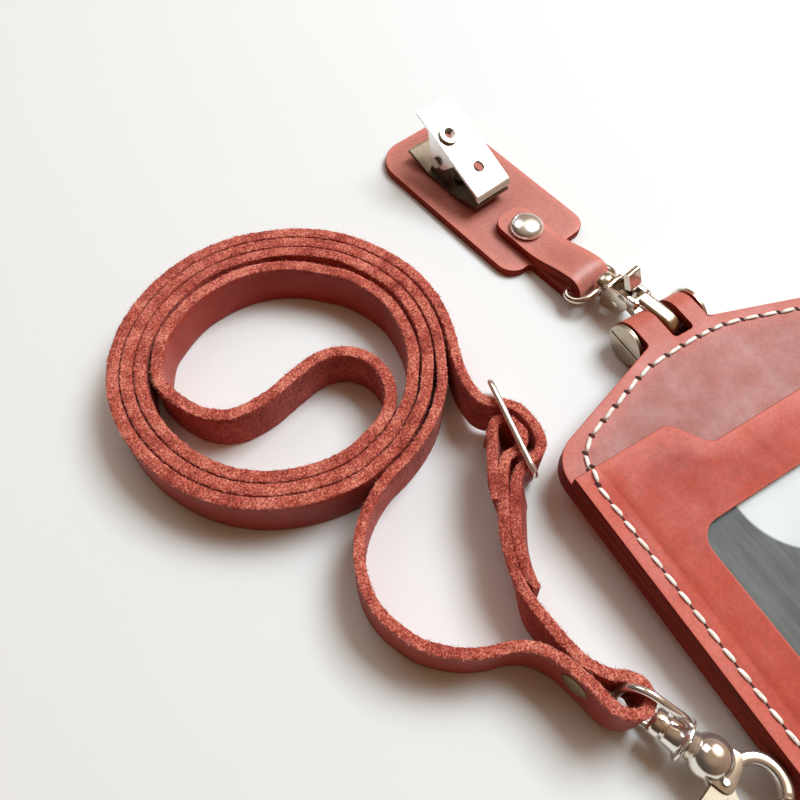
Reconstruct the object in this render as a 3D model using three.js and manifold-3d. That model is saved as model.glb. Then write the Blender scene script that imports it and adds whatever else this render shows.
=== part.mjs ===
// Leather card holder with a clip tab and a flat leather lanyard, lying on a table.
// Millimetres, +Z up, +Y from the card pocket towards the clip tab.
import * as THREE from 'three';
import { mergeVertices } from 'three/addons/utils/BufferGeometryUtils.js';
import Module from 'manifold-3d';

const wasm = await Module();
wasm.setup();

// Fits
const SEAT = 0.3;
const BORE_PLAY = 0.3;
const WINDOW_LAP = 2.7;

// Holder panels
const HALF_WIDTH = 36.3;
const BOTTOM_Y = -54.4;
const SHOULDER_Y = 57.6;
const GABLE_X = 8.3;
const GABLE_RISE = 8.88;
const CORNER_R = 7;
const PANEL_T = 1.8;
const FRONT_T = 2.0;
const FRONT_TOP_Y = 52.2;
const FRONT_DIP_Y = 45.5;
const DIP_OUTER_X = 17;
const DIP_INNER_X = 10.5;
const CURVE_STEPS = 8;

// Pocket, card and window
const CARD_W = 54;
const CARD_L = 86;
const CARD_T = 0.4;
const CARD_BOTTOM_Y = -45.7;
const CARD_R = 3.2;
const POCKET_H = 1.5;
const POCKET_SIDE_PLAY = 1.2;
const POCKET_DROP = 2.8;
const CARD_SIDE_COVER = 2.5;
const CARD_FOOT_COVER = 3.7;
const CARD_HEAD_COVER = 5.6;
const POCKET_FLOOR_Y = CARD_BOTTOM_Y - POCKET_DROP;
const WINDOW_HALF = CARD_W / 2 - CARD_SIDE_COVER;
const WINDOW_LOW_Y = CARD_BOTTOM_Y + CARD_FOOT_COVER;
const WINDOW_HIGH_Y = CARD_BOTTOM_Y + CARD_L - CARD_HEAD_COVER;
const WINDOW_R = 4;
const FILM_T = 0.2;

// Stitching
const STITCH_PITCH = 4;
const STITCH_INSET = 2.2;
const STITCH_RISE = 0.35;
const THREAD_R = 0.36;
const STITCH_FIRST_Y = 48.8;
const STITCH_SIDE_COUNT = 24;
const STITCH_FOOT_COUNT = 15;

// Ears, post and screw
const EAR_LEFT = -6.6;
const EAR_RIGHT = 7.8;
const EAR_GAP_X = 1.3;
const EAR_GAP_HALF = 2.4;
const EAR_ROOT_Y = 66;
const ROLL_Y = 71;
const POST_R = 2.4;
const HEAD_R = 4.35;
const HEAD_T = 0.9;
const SLOT_W = 0.8;
const SLOT_D = 0.5;
const SHANK_R = 1.3;
const SHANK_L = 8;
const TONGUE_END_Y = 60.6;

// Clip hook, in a frame with its origin on the post
const HOOK_TURN = 11 * Math.PI / 180;
const HOOK_X = 1.1;
const CLIP_TURN = 8.5 * Math.PI / 180;
const CLIP_X = 0.6;
const HOOK_WALL = 1.5;
const HOOK_HALF_W = 1.3;
const HOOK_TIP_ANGLE = 212;
const GATE_END_ANGLE = 224;
const PLATE_T = 0.7;
const ROOT_V0 = 5.0;
const LEVER_SLOT = 1.2;
const BRACKET_HALF = 2.4;
const BRACKET_V0 = 7.6;
const BRACKET_V1 = 12.7;
const BRACKET_Z0 = 1.6;
const BRACKET_Z1 = 7.6;
const LEVER_V = 9.4;
const LEVER_Z = 4.6;
const LEVER_PIN_R = 0.6;
const EYE_WIRE_R = 0.9;
const FOLD_PLAY = 0.45;
const EYE_BAR_V = 18.3;
const EYE_BAR_Z = 3.3;
const EYE_BOSS_R = 2.6;
const EYE_BOSS_V0 = 13.0;
const EYE_BOSS_V1 = 14.7;
const EYE_HALF = 5.8;
const EYE_X = -1.2;
const SWIVEL_R = 0.8;

// Clip tab
const TAB_CENTRE_U = 0.1;
const TAB_HALF = 11.7;
const TAB_V0 = 28.6;
const TAB_V1 = 74.2;
const TAB_T = 1.9;
const TAB_TOP_R = 7;
const TAB_LOW_R = 4;
const NECK_CENTRE_U = -1.4;
const NECK_HALF = 4.4;
const RETURN_END_V = 41.4;
const CAP_V = 35;
const CAP_R = 3.6;
const CAP_RISE = 1.5;
const RIVET_SHANK_R = 1.2;

// Badge clip
const BADGE_CENTRE_U = -1.2;
const BADGE_HALF = 4.7;
const BADGE_T = 0.8;
const JAW_V = 46.4;
const JAW_Z = 7.3;
const FINGER_V = 66.4;
const FINGER_Z = 16.2;
const BADGE_PIN_V = 58.9;
const BADGE_PIN_Z = 8.0;
const BADGE_PIN_R = 0.7;
const BADGE_HOLE_V = 51.1;
const BADGE_HOLE_R = 1.3;
const EYELET_V = 59.4;
const EYELET_U = -1.6;
const EYELET_R = 2.3;
const EYELET_BORE = 1.2;
const MOUNT_V = 55.6;
const MOUNT_HEAD_R = 1.9;

// Lanyard strap, ring and swivel hook
const STRAP_T = 1.8;
const STRAP_H = 9.5;
const STRAP_EDGE = 0.35;
const STRAP_Z = STRAP_H / 2 + 0.08;
const COIL_X = -66.3;
const COIL_Y = 99.44;
const COIL_STEP = 10;
const JOIN_GAP = 0.3;
const RING_WIRE_R = 0.75;
const RING_LIFT = 1.9;
const RING_HALF_L = 9.9;
const RING_X = -38.1;
const RING_Y = 64.9;
const RING_LEAN = 4.5;
const LANYARD_RIVET_R = 2.6;
const LOBSTER_X = -44.6;
const LOBSTER_Y = 7.7;
const LOBSTER_Z = 5.6;
const LOBSTER_TURN = -66.4 * Math.PI / 180;
const JAW_R = 5.1;
const JAW_WIRE = 1.9;
const JAW_CENTRE_S = 7.2;
const BALL_R = 4;
const DISC_R = 4.1;
const DISC_T = 0.8;
const GATE_PIN_S = 2.9;
const GATE_PIN_T = -2.2;
const RIVET_X = -53.8;
const RIVET_Y = 27.6;
const RIVET_Z = 5.9;
const RIVET_TURN = 0.3;

// Placement of the whole object
const ROLL_Z = PANEL_T + SEAT + PANEL_T - (POST_R + BORE_PLAY + PANEL_T);
const ROLL_R = POST_R + BORE_PLAY + PANEL_T;
const REACH = ROLL_Y - BOTTOM_Y;
const TILT = Math.asin((ROLL_R - ROLL_Z) / REACH);
const LIFT = -BOTTOM_Y * Math.sin(TILT);
const POST_Y = ROLL_Y * Math.cos(TILT) - ROLL_Z * Math.sin(TILT);
const POST_Z = ROLL_Y * Math.sin(TILT) + ROLL_Z * Math.cos(TILT) + LIFT;
const ORIGIN_Y = 45.23;

const BACK_Z = PANEL_T + SEAT;
const FRONT_Z = BACK_Z + PANEL_T + SEAT;
const FRONT_TOP_Z = FRONT_Z + FRONT_T;
const POCKET_Z = BACK_Z + PANEL_T;

const object = new THREE.Group();
object.name = 'leather_id_card_holder';

const LEATHER = { color: 0xb5433c, roughness: 0.6, metalness: 0 };
const SUEDE = { color: 0xc4574d, roughness: 0.8, metalness: 0 };
const NICKEL = { color: 0xc9c5bb, roughness: 0.25, metalness: 1 };
const STEEL = { color: 0x8f8c84, roughness: 0.4, metalness: 1 };
const THREAD = { color: 0xefe6d6, roughness: 0.8, metalness: 0 };
const CLEAR = { color: 0xdfe3e4, roughness: 0.08, metalness: 0, transparent: true, opacity: 0.35 };

// Solids
function toSolid(geometry) {
  const bare = geometry.clone();
  bare.deleteAttribute('normal');
  bare.deleteAttribute('uv');
  const merged = mergeVertices(bare, 1e-4);
  return new wasm.Manifold(new wasm.Mesh({
    numProp: 3,
    vertProperties: new Float32Array(merged.attributes.position.array),
    triVerts: new Uint32Array(merged.index.array),
  }));
}

function toGeometry(solid) {
  const mesh = solid.getMesh();
  const geometry = new THREE.BufferGeometry();
  geometry.setAttribute('position', new THREE.BufferAttribute(new Float32Array(mesh.vertProperties), 3));
  geometry.setIndex(new THREE.BufferAttribute(new Uint32Array(mesh.triVerts), 1));
  return geometry;
}

function join(...parts) {
  return toGeometry(parts.map(toSolid).reduce((whole, part) => whole.add(part)));
}

function cut(body, ...tools) {
  return toGeometry(tools.map(toSolid).reduce((whole, tool) => whole.subtract(tool), toSolid(body)));
}

// Outline of straight sides whose corners are rounded by the third number of each point
function outline(points, steps = 5) {
  const out = [];
  const count = points.length;
  for (let i = 0; i < count; i += 1) {
    const [x, y, radius = 0] = points[i];
    if (radius === 0) {
      out.push(new THREE.Vector2(x, y));
      continue;
    }
    const here = new THREE.Vector2(x, y);
    const before = new THREE.Vector2(...points[(i + count - 1) % count].slice(0, 2)).sub(here).normalize();
    const after = new THREE.Vector2(...points[(i + 1) % count].slice(0, 2)).sub(here).normalize();
    const half = Math.acos(THREE.MathUtils.clamp(before.dot(after), -1, 1)) / 2;
    const centre = before.clone().add(after).normalize().multiplyScalar(radius / Math.sin(half)).add(here);
    const start = before.clone().multiplyScalar(radius / Math.tan(half)).add(here).sub(centre);
    const end = after.clone().multiplyScalar(radius / Math.tan(half)).add(here).sub(centre);
    const from = Math.atan2(start.y, start.x);
    let sweep = Math.atan2(end.y, end.x) - from;
    sweep -= 2 * Math.PI * Math.round(sweep / (2 * Math.PI));
    for (let k = 0; k <= steps; k += 1) {
      const angle = from + sweep * k / steps;
      out.push(new THREE.Vector2(centre.x + radius * Math.cos(angle), centre.y + radius * Math.sin(angle)));
    }
  }
  return out;
}

function slab(points, z0, z1) {
  const shape = new THREE.Shape(points);
  const geometry = new THREE.ExtrudeGeometry(shape, { depth: z1 - z0, bevelEnabled: false });
  geometry.translate(0, 0, z0);
  return geometry;
}

function block(x0, x1, y0, y1, z0, z1) {
  const geometry = new THREE.BoxGeometry(x1 - x0, y1 - y0, z1 - z0);
  geometry.translate((x0 + x1) / 2, (y0 + y1) / 2, (z0 + z1) / 2);
  return geometry;
}

// Outline in the plane of travel and height, drawn across the width from x0 to x1
function across(points, x0, x1) {
  const geometry = slab(points, x0, x1);
  geometry.applyMatrix4(new THREE.Matrix4().makeBasis(
    new THREE.Vector3(0, 1, 0), new THREE.Vector3(0, 0, 1), new THREE.Vector3(1, 0, 0),
  ));
  return geometry;
}

// Band of even thickness along a line of points
function band(line, thickness) {
  const left = [];
  const right = [];
  line.forEach(([a, b], i) => {
    const before = line[Math.max(i - 1, 0)];
    const after = line[Math.min(i + 1, line.length - 1)];
    const first = new THREE.Vector2(a - before[0], b - before[1]).normalize();
    const second = new THREE.Vector2(after[0] - a, after[1] - b).normalize();
    const along = first.add(second).normalize();
    const leaving = second.lengthSq() ? second : first.normalize();
    const reach = thickness / 2 / Math.max(Math.abs(along.dot(leaving)), 0.5);
    left.push(new THREE.Vector2(a - along.y * reach, b + along.x * reach));
    right.push(new THREE.Vector2(a + along.y * reach, b - along.x * reach));
  });
  return [...right, ...left.reverse()];
}

function evenly(points, spacing) {
  return points.flatMap((point, i) => {
    const next = points[(i + 1) % points.length];
    const pieces = Math.max(1, Math.round(point.distanceTo(next) / spacing));
    return Array.from({ length: pieces }, (_, k) => point.clone().lerp(next, k / pieces));
  });
}

function arc(ca, cb, radius, from, to, steps) {
  const line = [];
  for (let i = 0; i <= steps; i += 1) {
    const angle = (from + (to - from) * i / steps) * Math.PI / 180;
    line.push([ca + radius * Math.cos(angle), cb + radius * Math.sin(angle)]);
  }
  return line;
}

function rod(radius, length, axis, x, y, z, sides = 16) {
  const geometry = new THREE.CylinderGeometry(radius, radius, length, sides);
  if (axis === 'x') geometry.rotateZ(Math.PI / 2);
  if (axis === 'z') geometry.rotateX(Math.PI / 2);
  geometry.translate(x, y, z);
  return geometry;
}

function ringOf(count, radius) {
  const points = [];
  for (let i = 0; i < count; i += 1) {
    const angle = 2 * Math.PI * (i + 0.5) / count;
    points.push(new THREE.Vector2(radius * Math.cos(angle), radius * Math.sin(angle)));
  }
  return points;
}

function wire(points, radius, steps, closed = false, sides = 8) {
  const path = new THREE.CatmullRomCurve3(points.map((p) => new THREE.Vector3(...p)), closed, 'centripetal');
  return new THREE.ExtrudeGeometry(new THREE.Shape(ringOf(sides, radius)), {
    steps, extrudePath: path, bevelEnabled: false,
  });
}

// Tube whose section stays upright, through every point of a line
function sweep(points, section, closed = false) {
  const position = [];
  const count = points.length;
  points.forEach(([x, y, z], i) => {
    const before = closed ? points[(i + count - 1) % count] : points[Math.max(i - 1, 0)];
    const after = closed ? points[(i + 1) % count] : points[Math.min(i + 1, count - 1)];
    const inward = new THREE.Vector2(x - before[0], y - before[1]).normalize();
    const outward = new THREE.Vector2(after[0] - x, after[1] - y).normalize();
    const along = inward.add(outward).normalize();
    for (const [a, b] of section) position.push(x - along.y * b, y + along.x * b, z + a);
  });
  const sides = section.length;
  const index = [];
  const rings = closed ? count : count - 1;
  for (let i = 0; i < rings; i += 1) {
    const here = i * sides;
    const there = ((i + 1) % count) * sides;
    for (let k = 0; k < sides; k += 1) {
      const next = (k + 1) % sides;
      index.push(here + k, there + k, here + next, here + next, there + k, there + next);
    }
  }
  const last = (count - 1) * sides;
  for (let k = 1; !closed && k + 1 < sides; k += 1) {
    index.push(0, k, k + 1);
    index.push(last, last + k + 1, last + k);
  }
  const geometry = new THREE.BufferGeometry();
  geometry.setAttribute('position', new THREE.Float32BufferAttribute(position, 3));
  geometry.setIndex(index);
  return geometry;
}

function dome(radius, rise, skirt, sides = 20) {
  const profile = [[0, -skirt], [radius, -skirt], [radius, 0]].map(([x, y]) => new THREE.Vector2(x, y));
  for (let i = 1; i < 4; i += 1) {
    const angle = Math.PI / 2 * i / 4;
    profile.push(new THREE.Vector2(radius * Math.cos(angle), rise * Math.sin(angle)));
  }
  profile.push(new THREE.Vector2(0, rise));
  const geometry = new THREE.LatheGeometry(profile, sides);
  geometry.rotateX(Math.PI / 2);
  return mergeVertices(geometry.deleteAttribute('normal').deleteAttribute('uv'), 1e-4);
}

function add(name, geometry, material, frame) {
  const placed = geometry.index ? geometry.toNonIndexed() : geometry.clone();
  placed.deleteAttribute('uv');
  if (frame) placed.applyMatrix4(frame);
  placed.translate(0, -ORIGIN_Y, 0);
  placed.computeVertexNormals();
  const mesh = new THREE.Mesh(placed, new THREE.MeshStandardMaterial(material));
  mesh.name = name;
  object.add(mesh);
}

// Frames
const holder = new THREE.Matrix4().makeRotationX(TILT).setPosition(0, 0, LIFT);
const hook = new THREE.Matrix4().makeRotationZ(HOOK_TURN).setPosition(HOOK_X, POST_Y, 0);
const clip = new THREE.Matrix4().makeRotationZ(CLIP_TURN).setPosition(CLIP_X, POST_Y, 0);

// Holder panels
const gableY = SHOULDER_Y + GABLE_RISE;
const shoulder = [HALF_WIDTH, SHOULDER_Y, CORNER_R];
const foot = [HALF_WIDTH, BOTTOM_Y, CORNER_R];
const mirrored = ([x, y, r]) => [-x, y, r];
const rearPanel = slab(outline([
  mirrored(foot), foot, shoulder,
  [EAR_RIGHT + 0.5, gableY], [EAR_RIGHT + 0.5, TONGUE_END_Y - 0.4],
  [EAR_LEFT - 0.5, TONGUE_END_Y - 0.4], [EAR_LEFT - 0.5, gableY], mirrored(shoulder),
]), 0, PANEL_T);
add('rear_panel', rearPanel, LEATHER, holder);

const rollLine = [
  [EAR_ROOT_Y - 2, BACK_Z + PANEL_T / 2],
  ...arc(ROLL_Y, ROLL_Z, POST_R + BORE_PLAY + PANEL_T / 2, 90, -124, 18),
  [62.4, PANEL_T / 2],
  [TONGUE_END_Y, PANEL_T / 2],
];
const earSpans = [
  [EAR_LEFT, EAR_GAP_X - EAR_GAP_HALF],
  [EAR_GAP_X + EAR_GAP_HALF, EAR_RIGHT],
];
const backPanel = join(
  slab(outline([
    mirrored(foot), foot, shoulder,
    [GABLE_X, gableY], [EAR_RIGHT, gableY], [EAR_RIGHT, ROLL_Y - 1.5],
    [EAR_GAP_X + EAR_GAP_HALF, ROLL_Y - 1.5], [EAR_GAP_X + EAR_GAP_HALF, EAR_ROOT_Y],
    [EAR_GAP_X - EAR_GAP_HALF, EAR_ROOT_Y], [EAR_GAP_X - EAR_GAP_HALF, ROLL_Y - 1.5],
    [EAR_LEFT, ROLL_Y - 1.5], [EAR_LEFT, gableY], [-GABLE_X, gableY], mirrored(shoulder),
  ]), BACK_Z, BACK_Z + PANEL_T),
  ...earSpans.map(([x0, x1]) => across(band(rollLine, PANEL_T), x0, x1)),
);
add('back_panel', backPanel, LEATHER, holder);

function dipLine(side) {
  const line = [];
  for (let i = 0; i <= CURVE_STEPS; i += 1) {
    const t = i / CURVE_STEPS;
    const drop = (1 - Math.cos(Math.PI * t)) / 2;
    line.push([
      side * (DIP_OUTER_X + (DIP_INNER_X - DIP_OUTER_X) * t),
      FRONT_TOP_Y + (FRONT_DIP_Y - FRONT_TOP_Y) * drop,
    ]);
  }
  return side > 0 ? line : line.reverse();
}
const pocketHalf = CARD_W / 2 + POCKET_SIDE_PLAY;
const frontPanel = cut(
  slab(outline([
    mirrored(foot), foot, [HALF_WIDTH, FRONT_TOP_Y],
    ...dipLine(1), ...dipLine(-1), [-HALF_WIDTH, FRONT_TOP_Y],
  ]), FRONT_Z, FRONT_TOP_Z),
  block(-pocketHalf, pocketHalf, POCKET_FLOOR_Y, FRONT_TOP_Y + 5, POCKET_Z, POCKET_Z + POCKET_H),
  slab(outline([
    [-WINDOW_HALF, WINDOW_LOW_Y, WINDOW_R], [WINDOW_HALF, WINDOW_LOW_Y, WINDOW_R],
    [WINDOW_HALF, WINDOW_HIGH_Y, WINDOW_R], [-WINDOW_HALF, WINDOW_HIGH_Y, WINDOW_R],
  ]), POCKET_Z, FRONT_TOP_Z + 1),
);
add('front_panel', frontPanel, LEATHER, holder);

const filmZ = POCKET_Z + POCKET_H - SEAT - FILM_T;
const filmHalf = WINDOW_HALF + WINDOW_LAP;
const film = slab(outline([
  [-filmHalf, WINDOW_LOW_Y - WINDOW_LAP, 2], [filmHalf, WINDOW_LOW_Y - WINDOW_LAP, 2],
  [filmHalf, WINDOW_HIGH_Y + WINDOW_LAP, 2], [-filmHalf, WINDOW_HIGH_Y + WINDOW_LAP, 2],
], 3), filmZ, filmZ + FILM_T);
add('window_film', film, CLEAR, holder);

const card = slab(outline([
  [-CARD_W / 2, CARD_BOTTOM_Y, CARD_R], [CARD_W / 2, CARD_BOTTOM_Y, CARD_R],
  [CARD_W / 2, CARD_BOTTOM_Y + CARD_L, CARD_R], [-CARD_W / 2, CARD_BOTTOM_Y + CARD_L, CARD_R],
], 3), POCKET_Z + SEAT, POCKET_Z + SEAT + CARD_T);
add('insert_card', card, { color: 0xb9b9b6, roughness: 0.5, metalness: 0 }, holder);

// Stitching, one thread that runs on from stitch to stitch and dips at each hole
const threadPath = [];
const backTop = BACK_Z + PANEL_T;
function stitchRun(x0, y0, dx, dy, count, surface) {
  for (let i = 0; i < count; i += 1) {
    const low = surface + SEAT + THREAD_R;
    const x = x0 + dx * i;
    const y = y0 + dy * i;
    threadPath.push([x, y, low]);
    threadPath.push([x + dx * 0.25, y + dy * 0.25, low + STITCH_RISE]);
    threadPath.push([x + dx * 0.75, y + dy * 0.75, low + STITCH_RISE]);
  }
}
const sideX = HALF_WIDTH - STITCH_INSET;
const slope = Math.atan2(GABLE_RISE, HALF_WIDTH - GABLE_X);
const slopeX = STITCH_PITCH * Math.cos(slope);
const slopeY = STITCH_PITCH * Math.sin(slope);
const footY = BOTTOM_Y + STITCH_INSET;
const sideRun = STITCH_FIRST_Y - (footY + 3);
const sidePitch = sideRun / STITCH_SIDE_COUNT;
const footX = sideX - 3;
const footPitch = 2 * footX / STITCH_FOOT_COUNT;
const backLow = backTop + SEAT + THREAD_R;
const frontLow = FRONT_TOP_Z + SEAT + THREAD_R;
const stepY = FRONT_TOP_Y + 0.7;
stitchRun(-8, SHOULDER_Y + 5.8, STITCH_PITCH, 0, 4, backTop);
stitchRun(8, SHOULDER_Y + 5.7, slopeX, -slopeY, 6, backTop);
threadPath.push([30.9, 56.0, backLow], [33.1, stepY + 0.6, backLow], [33.3, stepY, frontLow]);
stitchRun(sideX, STITCH_FIRST_Y, 0, -sidePitch, STITCH_SIDE_COUNT, FRONT_TOP_Z);
threadPath.push([sideX, STITCH_FIRST_Y - sideRun, frontLow], [sideX - 0.8, footY + 0.8, frontLow]);
stitchRun(footX, footY, -footPitch, 0, STITCH_FOOT_COUNT, FRONT_TOP_Z);
threadPath.push([-footX, footY, frontLow], [-sideX + 0.8, footY + 0.8, frontLow]);
stitchRun(-sideX, STITCH_FIRST_Y - sideRun, 0, sidePitch, STITCH_SIDE_COUNT, FRONT_TOP_Z);
threadPath.push([-sideX, STITCH_FIRST_Y, frontLow], [-33.3, stepY, frontLow], [-33.1, stepY + 0.6, backLow]);
stitchRun(-8 - 6 * slopeX, 63.3 - 6 * slopeY, slopeX, slopeY, 6, backTop);
const threadSection = ringOf(5, THREAD_R).map((p) => [p.x, p.y]);
add('stitching', sweep(threadPath, threadSection, true), THREAD, holder);

// Post
const barrelLeft = EAR_LEFT;
const barrelRight = EAR_RIGHT + SEAT;
const barrelL = barrelRight - barrelLeft + 0.2;
const barrel = cut(
  join(
    rod(POST_R, barrelL, 'x', barrelLeft + barrelL / 2, ROLL_Y, ROLL_Z, 20),
    rod(HEAD_R, HEAD_T, 'x', barrelRight + HEAD_T / 2, ROLL_Y, ROLL_Z, 24),
  ),
  rod(SHANK_R + BORE_PLAY, SHANK_L + 2, 'x', barrelLeft + SHANK_L / 2, ROLL_Y, ROLL_Z, 16),
);
add('post_barrel', barrel, NICKEL, holder);

const screwFace = barrelLeft - SEAT;
const screw = cut(
  join(
    rod(HEAD_R, HEAD_T, 'x', screwFace - HEAD_T / 2, ROLL_Y, ROLL_Z, 24),
    rod(SHANK_R, SHANK_L, 'x', screwFace + SHANK_L / 2 - 0.3, ROLL_Y, ROLL_Z, 16),
  ),
  block(
    screwFace - HEAD_T - 1, screwFace - HEAD_T + SLOT_D, ROLL_Y - HEAD_R - 1, ROLL_Y + HEAD_R + 1,
    ROLL_Z - SLOT_W / 2, ROLL_Z + SLOT_W / 2,
  ),
);
add('post_screw', screw, STEEL, holder);

// Clip hook body, lever, pin and spring
const hookInner = POST_R + BORE_PLAY + 0.05;
const hookLine = [
  [ROOT_V0 + 0.5, POST_Z + hookInner + HOOK_WALL / 2],
  ...arc(0, POST_Z, hookInner + HOOK_WALL / 2, 90, HOOK_TIP_ANGLE, 12),
];
const bracketWalls = [-1, 1].map((side) => across(outline([
  [BRACKET_V0, BRACKET_Z0, 1], [BRACKET_V1, BRACKET_Z0, 0.6],
  [BRACKET_V1, BRACKET_Z1, 0.6], [BRACKET_V0, BRACKET_Z1, 0.6],
], 3), side > 0 ? BRACKET_HALF - PLATE_T : -BRACKET_HALF, side > 0 ? BRACKET_HALF : PLATE_T - BRACKET_HALF));
const hookBody = cut(
  join(
    across(band(hookLine, HOOK_WALL), -HOOK_HALF_W, HOOK_HALF_W),
    ...bracketWalls,
    block(-BRACKET_HALF, BRACKET_HALF, ROOT_V0, BRACKET_V0 + 1.6, BRACKET_Z1 - 0.9, BRACKET_Z1 + 0.9),
    block(-BRACKET_HALF, BRACKET_HALF, BRACKET_V1 - PLATE_T, BRACKET_V1, BRACKET_Z0 + 0.3, BRACKET_Z1 - 0.3),
  ),
  block(-LEVER_SLOT, LEVER_SLOT, ROOT_V0 + 1.1, BRACKET_V0 + 3, BRACKET_Z1 - 3, BRACKET_Z1 + 3),
  rod(SWIVEL_R + BORE_PLAY, 3, 'y', 0, BRACKET_V1, LEVER_Z),
  rod(LEVER_PIN_R + BORE_PLAY, 8, 'x', 0, LEVER_V, LEVER_Z),
);
add('hook_body', hookBody, NICKEL, hook);

const gateLine = [
  ...arc(0, POST_Z, hookInner + HOOK_WALL / 2, GATE_END_ANGLE, 335, 9),
  [LEVER_V, LEVER_Z],
];
const lever = cut(
  join(
    across(band(gateLine, HOOK_WALL), -0.85, 0.85),
    rod(1.5, 1.7, 'x', 0, LEVER_V, LEVER_Z),
    across(outline([
      [LEVER_V - 1.1, LEVER_Z - 1.0], [LEVER_V + 0.9, LEVER_Z - 1.0], [LEVER_V + 0.9, LEVER_Z + 0.9],
      [8.6, 7.2], [9.0, 9.4], [10.3, 12.6, 0.5], [9.1, 13.1, 0.5], [7.6, 9.8], [7.1, 7.0],
    ], 3), -0.85, 0.85),
    across(outline([[8.9, 9.2], [10.3, 12.6, 0.5], [9.1, 13.1, 0.5], [7.6, 9.8]], 3), -1.65, 1.65),
  ),
  rod(LEVER_PIN_R + BORE_PLAY, 8, 'x', 0, LEVER_V, LEVER_Z),
);
add('hook_lever', lever, NICKEL, hook);

const leverPin = join(
  rod(LEVER_PIN_R, 2 * BRACKET_HALF + 1, 'x', 0, LEVER_V, LEVER_Z),
  rod(1.1, 0.5, 'x', -BRACKET_HALF - SEAT - 0.25, LEVER_V, LEVER_Z),
  rod(1.1, 0.5, 'x', BRACKET_HALF + SEAT + 0.25, LEVER_V, LEVER_Z),
);
add('hook_pin', leverPin, STEEL, hook);

function coilSpring(radius, thick, turns, x0, x1, y, z) {
  const points = [];
  const count = Math.round(turns * 8);
  for (let i = 0; i <= count; i += 1) {
    const angle = 2 * Math.PI * i / 8;
    points.push([x0 + (x1 - x0) * i / count, y + radius * Math.cos(angle), z + radius * Math.sin(angle)]);
  }
  return wire(points, thick, count * 2, false, 5);
}
add('hook_spring', coilSpring(1.15, 0.16, 1.5, 1.12, 1.52, LEVER_V, LEVER_Z), STEEL, hook);

// Clip eye that the tab is folded round
const eyeBossV = (EYE_BOSS_V0 + EYE_BOSS_V1) / 2;
const eye = join(
  wire([
    [EYE_X - 3, EYE_BAR_V, EYE_BAR_Z], [EYE_X - EYE_HALF + 0.6, EYE_BAR_V, EYE_BAR_Z],
    [EYE_X - EYE_HALF, 17.4, 3.3], [EYE_X - EYE_HALF + 0.1, 15.5, 3.7],
    [EYE_X - EYE_HALF + 1.3, 14.1, 4.2], [-2.4, eyeBossV, LEVER_Z], [2.4, eyeBossV, LEVER_Z],
    [EYE_X + EYE_HALF - 1.3, 14.1, 4.2], [EYE_X + EYE_HALF - 0.1, 15.5, 3.7],
    [EYE_X + EYE_HALF, 17.4, 3.3], [EYE_X + EYE_HALF - 0.6, EYE_BAR_V, EYE_BAR_Z],
    [EYE_X + 3, EYE_BAR_V, EYE_BAR_Z],
  ], EYE_WIRE_R, 40, true, 8),
  rod(EYE_BOSS_R, EYE_BOSS_V1 - EYE_BOSS_V0, 'y', 0, eyeBossV, LEVER_Z, 18),
  rod(SWIVEL_R, 1.3, 'y', 0, EYE_BOSS_V0 - 0.45, LEVER_Z, 12),
);
add('hook_eye', eye, NICKEL, hook);

// Clip tab: one leather piece folded round the eye and riveted to itself
const foldR = EYE_WIRE_R + FOLD_PLAY + TAB_T / 2;
const upperZ = TAB_T + SEAT + TAB_T / 2;
const neckLine = [
  [TAB_V0 + 3, TAB_T / 2],
  [EYE_BAR_V + 5.5, TAB_T / 2],
  [EYE_BAR_V + 3, EYE_BAR_Z - foldR + 0.1],
  ...arc(EYE_BAR_V, EYE_BAR_Z, foldR, 285, 75, 14),
  [EYE_BAR_V + 3.4, EYE_BAR_Z + foldR - 0.6],
  [EYE_BAR_V + 8.5, upperZ + 0.4],
  [EYE_BAR_V + 11, upperZ],
  [RETURN_END_V - 3, upperZ],
];
const tab = cut(
  join(
    slab(outline([
      [TAB_CENTRE_U - TAB_HALF, TAB_V0, TAB_LOW_R], [NECK_CENTRE_U - NECK_HALF, TAB_V0],
      [NECK_CENTRE_U - NECK_HALF, TAB_V0 - 1], [NECK_CENTRE_U + NECK_HALF, TAB_V0 - 1],
      [NECK_CENTRE_U + NECK_HALF, TAB_V0],
      [TAB_CENTRE_U + TAB_HALF, TAB_V0, TAB_LOW_R], [TAB_CENTRE_U + TAB_HALF, TAB_V1, TAB_TOP_R],
      [TAB_CENTRE_U - TAB_HALF, TAB_V1, TAB_TOP_R],
    ]), 0, TAB_T),
    across(band(neckLine, TAB_T), NECK_CENTRE_U - NECK_HALF, NECK_CENTRE_U + NECK_HALF),
    slab(outline([
      [NECK_CENTRE_U - NECK_HALF, RETURN_END_V - 5], [NECK_CENTRE_U + NECK_HALF, RETURN_END_V - 5],
      [NECK_CENTRE_U + NECK_HALF, RETURN_END_V, 3.4], [NECK_CENTRE_U - NECK_HALF, RETURN_END_V, 3.4],
    ]), TAB_T + SEAT, TAB_T + SEAT + TAB_T),
  ),
  rod(RIVET_SHANK_R + BORE_PLAY, 12, 'z', NECK_CENTRE_U, CAP_V, 0),
  rod(RIVET_SHANK_R + BORE_PLAY, 12, 'z', BADGE_CENTRE_U, MOUNT_V, 0),
);
add('clip_tab', tab, LEATHER, clip);

const capZ = 2 * TAB_T + 2 * SEAT;
const capDome = dome(CAP_R, CAP_RISE, 0.5);
capDome.translate(NECK_CENTRE_U, CAP_V, capZ + 0.5);
const capShank = rod(RIVET_SHANK_R, capZ, 'z', NECK_CENTRE_U, CAP_V, capZ / 2 + 0.1);
add('cap_rivet', join(capDome, capShank), NICKEL, clip);

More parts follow.
